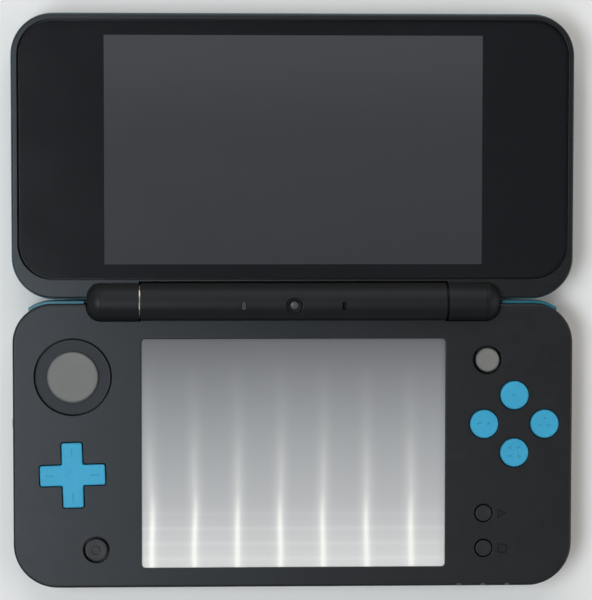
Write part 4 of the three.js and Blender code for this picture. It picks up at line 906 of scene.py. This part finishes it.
def pad_cap():
    low, high = box_mm("slide_pad_cap")
    centre = (low + high) / 2
    radius = (high.x - low.x) / 2
    profile = [(0, low.z), (radius - 0.25, low.z), (radius, low.z + 0.25)]
    profile += [(radius - inset, z) for inset, z in rounded_top(high.z, 0.9, 8)]
    for share in (0.8, 0.7, 0.55, 0.4, 0.2, 0):
        profile.append((radius * share, high.z - PAD_DISH * (1 - (share / PAD_EDGE_SHARE) ** 2)))
    cap = turned("pad_cap", profile, at(centre.x, centre.y), WIDE_ROUND)
    dress(cap, "pad_cap_cover", "pad_cap", PAD, "slide_pad_cap")


NUB_STEM = 1.7
NUB_HEIGHT = 1.5


def nub():
    low, high = box_mm("thumb_nub")
    under = high.z - NUB_HEIGHT
    profile = [(0, low.z), (NUB_STEM, low.z), (NUB_STEM, under), (NUB_RADIUS - 0.1, under),
               (NUB_RADIUS, high.z - 1.4)]
    profile += [(NUB_RADIUS - inset, z) for inset, z in rounded_top(high.z, 0.7, 7)]
    profile += [(1.4, high.z), (0, high.z)]
    piece = turned("nub_cap", profile, at(NUB_AT.x, NUB_AT.y), KEY_ROUND)
    dress(piece, "nub_cap", "nub", NUB, "thumb_nub")


KEY_PLATE, KEY_EDGE = 0.5, 0.25
RIB_PITCH, RIB_HALF = 0.7, 0.12
POWER_WIDTH, POWER_HEIGHT = 6, 1.8


def volume_slider():
    outline = centred(0, 0, KNOB_LENGTH, KNOB_HEIGHT, 0.35, SMALL_ARC)
    outwards = at(KNOB_HIGH.x, KNOB_AT.y, KNOB_AT.z) @ quarter("Z", -1) @ quarter("X")
    levels = [(0, 0)] + rounded_top(KNOB_HIGH.x - KNOB_LOW.x, KEY_EDGE, 4)
    knob = loft("knob", outline, levels, outwards)
    ribs = [block(-HALF - ABOVE, -HALF - 0.2, KNOB_AT.y + k * RIB_PITCH - RIB_HALF,
                  KNOB_AT.y + k * RIB_PITCH + RIB_HALF, KNOB_AT.z - 2, KNOB_AT.z + 2) for k in (-1, 0, 1)]
    combine(knob, ribs)
    plate = block(KNOB_HIGH.x - KEY_PLATE, KNOB_HIGH.x, KNOB_LOW.y, KNOB_HIGH.y, KNOB_LOW.z, KNOB_HIGH.z)
    combine(knob, [plate], "UNION")
    dress(knob, "volume_slider", "volume", TURQUOISE_WITH_PAINTED_SHADE, "volume_knob")


def power_key():
    outline = centred(0, 0, POWER_WIDTH, POWER_HEIGHT, 0.4, SMALL_ARC)
    outwards = at(POWER_X, POWER_HIGH.y, POWER_Z) @ quarter("X")
    levels = [(0, 0)] + rounded_top(POWER_HIGH.y - POWER_LOW.y, KEY_EDGE, 4)
    key = loft("power", outline, levels, outwards)
    plate = block(POWER_LOW.x, POWER_HIGH.x, POWER_HIGH.y - KEY_PLATE, POWER_HIGH.y, POWER_LOW.z,
                  POWER_HIGH.z)
    combine(key, [plate], "UNION")
    dress(key, "power_key", "power", SMALL, "power_button")


SHOULDER_EDGE = 0.4
PIVOT_INSET, PIVOT_DEPTH, PIVOT_HOLE = 1.9, 2.53, 0.95
TRIGGER_WIDTH, TRIGGER_PLATE, TRIGGER_EDGE = 12, 0.8, 0.35


def shoulder(name, side):
    low, high = box_mm(f"shoulder_button_{name}")
    reach = high.y - REAR_Y
    half = HALF + reach
    outline = rectangle(-half, half, FRONT_Y, high.y, FRONT_RADIUS, REAR_RADIUS + reach, steps=20)
    levels = rounded_low(low.z, SHOULDER_EDGE, 4) + rounded_top(high.z, SHOULDER_EDGE, 4)
    piece = loft("shoulder", outline, levels)
    room = rectangle(low.x, high.x, low.y, high.y + 2, 0.3, steps=3)
    bottom, top = low.z - ABOVE, high.z + ABOVE
    combine(piece, [loft("room", room, [(0, bottom), (0, top)])], "INTERSECT")
    inner = (high.x if side < 0 else low.x) + side * PIVOT_INSET
    combine(piece, [rod(at(inner, REAR_Y - PIVOT_DEPTH), PIVOT_HOLE, bottom, top, 32)])
    node = f"shoulder_button_{name}"
    dress(piece, f"shoulder_key_{name}", f"shoulder_{name}", TURQUOISE_WITH_PAINTED_SHADE, node)


def trigger(name):
    low, high = box_mm(f"trigger_{name}")
    centre = (low + high) / 2
    outline = centred(0, 0, TRIGGER_WIDTH, high.z - low.z, 0.5, SMALL_ARC)
    levels = [(0, 0)] + rounded_top(high.y - low.y, TRIGGER_EDGE)
    key = loft("trigger", outline, levels, along_y(centre.x, low.y, centre.z))
    combine(key, [block(low.x, high.x, low.y, low.y + TRIGGER_PLATE, low.z, high.z)], "UNION")
    dress(key, f"trigger_key_{name}", f"rear_trigger_{name}", TURQUOISE_WITH_PAINTED_SHADE, f"trigger_{name}")


# Lid

FRAME_INSET = 0.45
FRAME_BEVEL, LID_BEVEL = 0.6, 2.0
WINDOW_INSET = 2.0
FRAME_HINGE_RIM = 5.6
WINDOW_GAP = 0.45
WINDOW_LEDGE = 1.3
FRAME_LOW_Z = 8.95
LID_SEAM = SEAM + SEAM_GAP / 2
HINGE_HOLE = 2.9
HOLLOW_Z, HOLLOW_HINGE_RIM = 6.3, 7.5
COVER_WELL = [(2.4, -ABOVE), (2.4, 0), (2.6, 0.2), (2.6, 0.8)]
COVER_PLATE = [(2.95, 0), (2.85, 0.1), (2.75, 0.3), (2.75, 0.7)]


def lid_outline():
    return rectangle(LID_LOW.x, LID_HIGH.x, LID_LOW.y, LID_HIGH.y, LID_RADIUS, steps=WIDE_ARC)


def inner_outline(hinge_rim, shrink=0.0):
    """The lid's outline set in at the sides, and further at the hinge."""
    side = WINDOW_INSET + shrink
    return rectangle(LID_LOW.x + side, LID_HIGH.x - side, LID_LOW.y + hinge_rim + shrink, LID_HIGH.y - side,
                     LID_RADIUS - side, steps=WIDE_ARC)


def hinge_room(inner):
    """Room for the base's barrel, and for the two caps from an inner end outwards."""
    notch = rod(along_x(), BARREL_RADIUS + NOTCH_GAP, -LID_SEAM, LID_SEAM)
    return [notch, barrel_room(-1, inner, CAP_GAP), barrel_room(1, inner, CAP_GAP)]


def lid_rim():
    levels = [(FRAME_INSET, FRAME_LOW_Z)]
    levels += [(FRAME_INSET + inset, z) for inset, z in rounded_top(FACE_Z, FRAME_BEVEL, 6)]
    piece = loft("lid_rim", lid_outline(), levels)
    ledge_z = box_mm("lid_window")[0].z - 0.05
    levels = [(WINDOW_LEDGE, FRAME_LOW_Z - ABOVE), (WINDOW_LEDGE, ledge_z), (0, ledge_z)]
    window = loft("cutter", inner_outline(FRAME_HINGE_RIM), levels + flared_top(FACE_Z, 0.1))
    combine(piece, [window, *hinge_room(CAP_INNER)])
    spans = [(-CAP_INNER, -LID_SEAM), (LID_SEAM, CAP_INNER)]
    combine(piece, [rod(along_x(), END_RADIUS, x0, x1, WIDE_ROUND) for x0, x1 in spans], "UNION")
    combine(piece, [rod(along_x(), HINGE_HOLE, x0 - ABOVE, x1 + ABOVE) for x0, x1 in spans])
    dress(piece, "lid_rim", "lid", RIM, "lid_front_frame")
    finish_barrel(piece, END_RADIUS, CAP_INNER)


def lid_glass():
    low, high = box_mm("lid_window")
    display_low, display_high = box_mm("upper_display")
    active = rectangle(display_low.x, display_high.x, display_low.y, display_high.y, 0.3, steps=3)
    window = inner_outline(FRAME_HINGE_RIM, WINDOW_GAP)
    piece = loft("lid_glass", window, [(0, low.z)] + rounded_top(high.z, 0.12, 3))
    levels = [(SCREEN_BORDER, low.z - ABOVE), (SCREEN_BORDER, high.z + ABOVE)]
    combine(piece, [loft("cutter", active, levels)])
    dress(piece, "lid_glass", "lid", WINDOW, "lid_window")
    levels = [(0, display_low.z), (0, display_high.z)]
    levels += [(SCREEN_BORDER, display_high.z), (SCREEN_BORDER, high.z)]
    screen = loft("upper_screen", active, levels)
    dress(screen, "upper_screen", "lid", UPPER, "upper_display")


def lid_back():
    bottom, top = LID_LOW.z, LID_HIGH.z
    levels = rounded_low(bottom, LID_BEVEL, FLOOR_ARC) + [(0, top - SEAM_EDGE), (SEAM_EDGE, top)]
    piece = loft("lid_back", lid_outline(), levels)
    hollow = loft("cutter", inner_outline(HOLLOW_HINGE_RIM), [(0, HOLLOW_Z), (0, top + ABOVE)])
    well = loft("cutter", lid_outline(), raised(COVER_WELL, bottom))
    combine(piece, [hollow, well, *hinge_room(LID_SEAM - FIT)])
    dress(piece, "lid_back", "lid", TURQUOISE_WITH_PAINTED_SHADE, "lid_back_shell")
    plate = loft("lid_cover", lid_outline(), raised(COVER_PLATE, bottom))
    dress(plate, "lid_cover", "lid", COVER, "lid_cover_plate")


def hinge_end(name, side):
    low, high = box_mm(f"hinge_cap_{name}")
    length = high.x - low.x
    profile = [(0, 0), (END_RADIUS - 0.08, 0), (END_RADIUS, 0.1)]
    profile += [(END_RADIUS - inset, z) for inset, z in rounded_top(length, CAP_ROUND, CAP_ARC)]
    place = at(high.x if side < 0 else low.x, 0, HINGE_Z) @ quarter("Y", side)
    cap = turned("hinge_end", profile + [(0, length)], place, WIDE_ROUND)
    dress(cap, f"hinge_end_{name}", "lid", HINGE, f"hinge_cap_{name}")


# Profiles of radius and height from the hinge's axis
EYE_RING = [(0, 1.75), (2.15, 1.75), (2.15, 4.98), (2.1, 5.08), (2.0, 5.1), (1.3, 4.9), (1.22, 4.8),
            (1.2, 4.35), (0, 4.35)]
EYE_GLASS = [(0, 4.4), (1.15, 4.4), (1.15, 4.7), (1.05, 4.82), (0.8, 4.92), (0.4, 4.98), (0, 5.0)]
LENS_LEVELS = [(0, 3.9), (0, 5.12), (0.04, 5.2), (0.12, 5.25)]


def barrel_details():
    ring = turned("camera_ring", EYE_RING, out_of_barrel(0), KEY_ROUND)
    dress(ring, "camera_ring", "base", EYE, "front_camera_housing")
    glass = turned("camera_glass", EYE_GLASS, out_of_barrel(0), KEY_ROUND)
    dress(glass, "camera_glass", "base", BARE_GLASS, "front_camera_lens")
    slot = centred(0, 0, 1.3, 2.4, 0.5, 6)
    lens = loft("indicator", slot, LENS_LEVELS, out_of_barrel(-FEATURE_SPAN))
    dress(lens, "indicator", "base", INDICATOR, "indicator_lens")


BAR_HEIGHT = 0.9
BAR_SINK = 0.02


def light_bar():
    low, high = box_mm("light_guide")
    bar = block(low.x, high.x, FRONT_Y + WALL + FIT, high.y, low.z, low.z + BAR_HEIGHT)
    half, inner, foot_z = LIGHT_WIDTH / 2, FRONT_Y + LIGHT_DEPTH, FACE_Z - 1
    posts = []
    for x in LIGHTS_X:
        posts.append(block(x - half, x + half, inner - 0.3, high.y, low.z, foot_z))
        posts.append(block(x - half, x + half, FRONT_Y + FIT, inner, foot_z - BAR_SINK, FACE_Z))
    combine(bar, posts, "UNION")
    levels = [(BAR_SINK, low.z - ABOVE)]
    levels += [(inset + BAR_SINK, z - BAR_SINK) for inset, z in rounded_top(FACE_Z, FACE_BEVEL, 6)]
    combine(bar, [loft("envelope", base_outline(), levels)], "INTERSECT")
    dress(bar, "light_bar", "base", LENS, "light_guide")


# Edge details, feet and fasteners

def foot(i):
    centre = middle_of(f"foot_{i}")
    profile = [(0, 0), (2.5, 0), (2.75, 0.08), (2.92, 0.25), (FOOT_RADIUS, 0.45),
               (FOOT_RADIUS, FOOT_HEIGHT), (0, FOOT_HEIGHT)]
    pad = turned("pad", profile, at(centre.x, centre.y), SMALL_ROUND)
    dress(pad, f"rubber_foot_{i}", "base", RUBBER, f"foot_{i}")


SCREW_SHANK = 0.75
RECESS = [(0, -0.5), (0, 0), (0.1, 0.45)]


def screw(i):
    low, high = box_mm(f"screw_{i}")
    centre = (low + high) / 2
    head = [(0, 0), (1.25, 0), (1.42, 0.08), (SCREW_RADIUS, 0.25), (SCREW_RADIUS, SCREW_HEAD),
            (SCREW_SHANK, SCREW_HEAD)]
    profile = raised(head, low.z) + [(SCREW_SHANK, high.z), (0, high.z)]
    piece = turned("screw", profile, at(centre.x, centre.y), THIN_ROUND)
    cross = cross_outline(1.9, 0.42, 0.1, 0.05)
    combine(piece, [loft("recess", cross, raised(RECESS, low.z), at(centre.x, centre.y))])
    dress(piece, f"fixing_screw_{i}", "base", STEEL, f"screw_{i}")


def outer_glass():
    low, high = box_mm("outer_camera_window")
    glass = rectangle(low.x, high.x, low.y, high.y, GLASS_CORNER, steps=12)
    piece = loft("outer_glass", glass, raised([(0.15, 0), (0.05, 0.05), (0, 0.15)], low.z) + [(0, high.z)])
    dress(piece, "outer_camera_glass", "base", WINDOW, "outer_camera_window")


FLAP_TOP_Z = 9
NICK_OUT, NICK_RADIUS, NICK_DEPTH = 3.6, 4.2, 0.7
PIN_IN, PIN_RADIUS = 0.45, 0.3


def card_flap():
    low, high = COVER_LOW, COVER_HIGH
    levels = rounded_low(BASE_LOW.z, FLOOR_BEVEL, FLOOR_ARC) + [(0, FLAP_TOP_Z)]
    flap = loft("flap", base_outline(), levels)
    left, right = low.x + COVER_PIN, high.x - COVER_PIN
    keep = block(left, right, FRONT_Y - ABOVE, FRONT_Y + FLAP_THICK, low.z, high.z)
    combine(flap, [keep], "INTERSECT")
    nick_at = at((left + right) / 2, FRONT_Y - NICK_OUT)
    combine(flap, [rod(nick_at, NICK_RADIUS, high.z - NICK_DEPTH, high.z + ABOVE, SMALL_ROUND)])
    pin = rod(along_x(FRONT_Y + PIN_IN, low.z + PIN_IN), PIN_RADIUS, low.x, high.x, PIN_ROUND)
    combine(flap, [pin], "UNION")
    dress(flap, "card_flap_cover", "card_flap", SHELL, "card_cover")


def stylus():
    low, high = box_mm("stylus")
    length = high.y - low.y
    profile = [(0, 0), (1.7, 0), (2.05, 0.1), (2.2, 0.35), (2.2, 3.0), (1.85, 3.35), (1.8, 3.6), (1.8, 5.9),
               (1.9, 6.1), (2.2, 6.4), (2.2, length - 6.0), (1.6, length - 3.4), (0.85, length - 1.0),
               (0.75, length - 0.4), (0.5, length - 0.1), (0, length)]
    pen = turned("pen", profile, along_y(PEN_AT.x, low.y, SOCKET_Z), THIN_ROUND)
    dress(pen, "stylus_pen", "pen", SMALL, "stylus")


# CAD nodes that stay, by finish
KEPT = (
    (TOUCH, "touch_panel"),
    (UPPER, "lower_display"),
    (BOARD, "main_board"),
    (CELL, "battery"),
    (RUBBER, "slide_pad_stem", "dpad_pivot", "button_membrane", "microphone"),
    (MODULE, "slide_pad_housing", "slide_pad_carriage", "nub_base", "nub_gimbal", "speaker_left",
     "speaker_right", "card_connector", "headphone_jack", "charge_port"),
    (STEEL, "hinge_unit_left"),
    # The right hinge unit takes the darkened steel: painted shade in its seam
    (STEEL_DARKENED_AS_SHADE, "hinge_unit_right"),
)


def dress_kept_nodes():
    for finish, *names in KEPT:
        for name in names:
            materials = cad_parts[name].data.materials
            materials.clear()
            materials.append(finish)


# Stage, light and camera, in metres

BACKGROUND = linear(238, 236, 233)
TABLE_REACH = 9.0
TABLE_NEAR, TABLE_FAR, TABLE_GLOW = 0.2, 0.95, 0.6


def far_table(finish):
    """Beyond the reach of the lamps the table shows some of its own pale colour."""
    away = finish.node("VectorMath")
    away.operation = "LENGTH"
    finish.link(finish.place, away.inputs[0])
    share = finish.node("MapRange", From_Min=TABLE_NEAR, From_Max=TABLE_FAR)
    share.interpolation_type = "SMOOTHSTEP"
    finish.link(away.outputs["Value"], share.inputs["Value"])
    ray = finish.node("LightPath").outputs
    seen = finish.math("MAXIMUM", ray["Is Camera Ray"], ray["Is Glossy Ray"])
    seen = finish.math("MAXIMUM", seen, ray["Is Transmission Ray"])
    glow = finish.math("MULTIPLY", seen, share.outputs["Result"])
    finish.preset(finish.shader, Emission_Color=BACKGROUND)
    finish.link(finish.math("MULTIPLY", glow, TABLE_GLOW), finish.shader.inputs["Emission Strength"])


def stage():
    data = bpy.data.meshes.new("floor")
    corners = [(x * TABLE_REACH, y * TABLE_REACH, 0) for x, y in ((-1, -1), (1, -1), (1, 1), (-1, 1))]
    data.from_pydata(corners, [], [(0, 1, 2, 3)])
    finish = Finish("pale table", 0.9, specular=0.1)
    finish.colour(finish.mottled(BACKGROUND, 0.008, 120.0))
    far_table(finish)
    data.materials.append(finish.material)
    placed("floor", data)


def soft_box(name, towards, tilt, reach, size, power, colour):
    """An area lamp at a tilt from straight above, aimed at the middle of the part."""
    light = bpy.data.lights.new(name, "AREA")
    light.shape = "RECTANGLE"
    light.size, light.size_y = size
    light.energy = power
    light.color = colour
    around, down = math.radians(towards), math.radians(tilt)
    away = Vector((math.cos(around) * math.sin(down), math.sin(around) * math.sin(down), math.cos(down)))
    lamp = placed(name, light)
    lamp.location = away * reach
    lamp.rotation_euler = (away * -reach).to_track_quat("-Z", "Y").to_euler()


# Brightness of the studio, from the horizon to straight above
STUDIO = ((0.0, 0.3), (0.25, 0.22), (0.6, 0.16), (1.0, 0.11))


def surroundings():
    world = bpy.data.worlds.new("studio")
    bpy.context.scene.world = world
    world.use_nodes = True
    nodes, links = world.node_tree.nodes, world.node_tree.links
    split = nodes.new("ShaderNodeSeparateXYZ")
    links.new(nodes.new("ShaderNodeTexCoord").outputs["Generated"], split.inputs[0])
    ramp = nodes.new("ShaderNodeValToRGB")
    fill_ramp(ramp, [(height, (0.98 * level, 0.99 * level, level, 1)) for height, level in STUDIO])
    links.new(split.outputs["Z"], ramp.inputs["Fac"])
    links.new(ramp.outputs["Color"], nodes["Background"].inputs["Color"])


BLUISH, WARM = (0.86, 0.94, 1.0), (1.0, 0.98, 0.95)


def lights():
    surroundings()
    soft_box("left box", 192, 24, 0.85, (0.5, 0.28), 4.3, BLUISH)
    soft_box("near box", -90, 22, 0.85, (0.5, 0.12), 0.2, WARM)
    soft_box("far box", 90, 32, 0.85, (0.6, 0.16), 0.6, WARM)
    soft_box("far fill", 90, 58, 1.5, (1.4, 0.9), 7.0, WARM)
    soft_box("right box", -6, 60, 1.5, (1.3, 1.0), 5.6, WARM)


# Fitted to the places of the controls in the photograph; the turn is in degrees
EYE_AT, EYE_TURN = (-0.0226, 0.0358, 0.65), (-3.171, -2.085, 0.04)
LENS_MM, SENSOR_MM = 136.0, 36.0


def camera():
    data = bpy.data.cameras.new("camera")
    data.lens = LENS_MM
    data.sensor_width = SENSOR_MM
    eye = placed("camera", data)
    eye.location = EYE_AT
    eye.rotation_euler = [math.radians(angle) for angle in EYE_TURN]
    bpy.context.scene.camera = eye


base_face()
base_floor()
buttons()
directional_cross()
pad_ring()
pad_cap()
nub()
volume_slider()
power_key()
for name, side in SIDES:
    shoulder(name, side)
    trigger(name)
lid_rim()
lid_glass()
lid_back()
for name, side in SIDES:
    hinge_end(name, side)
barrel_details()
light_bar()
for i in range(1, 5):
    foot(i)
    screw(i)
outer_glass()
card_flap()
stylus()
dress_kept_nodes()
stage()
lights()
camera()
bpy.context.scene.view_settings.view_transform = "Standard"
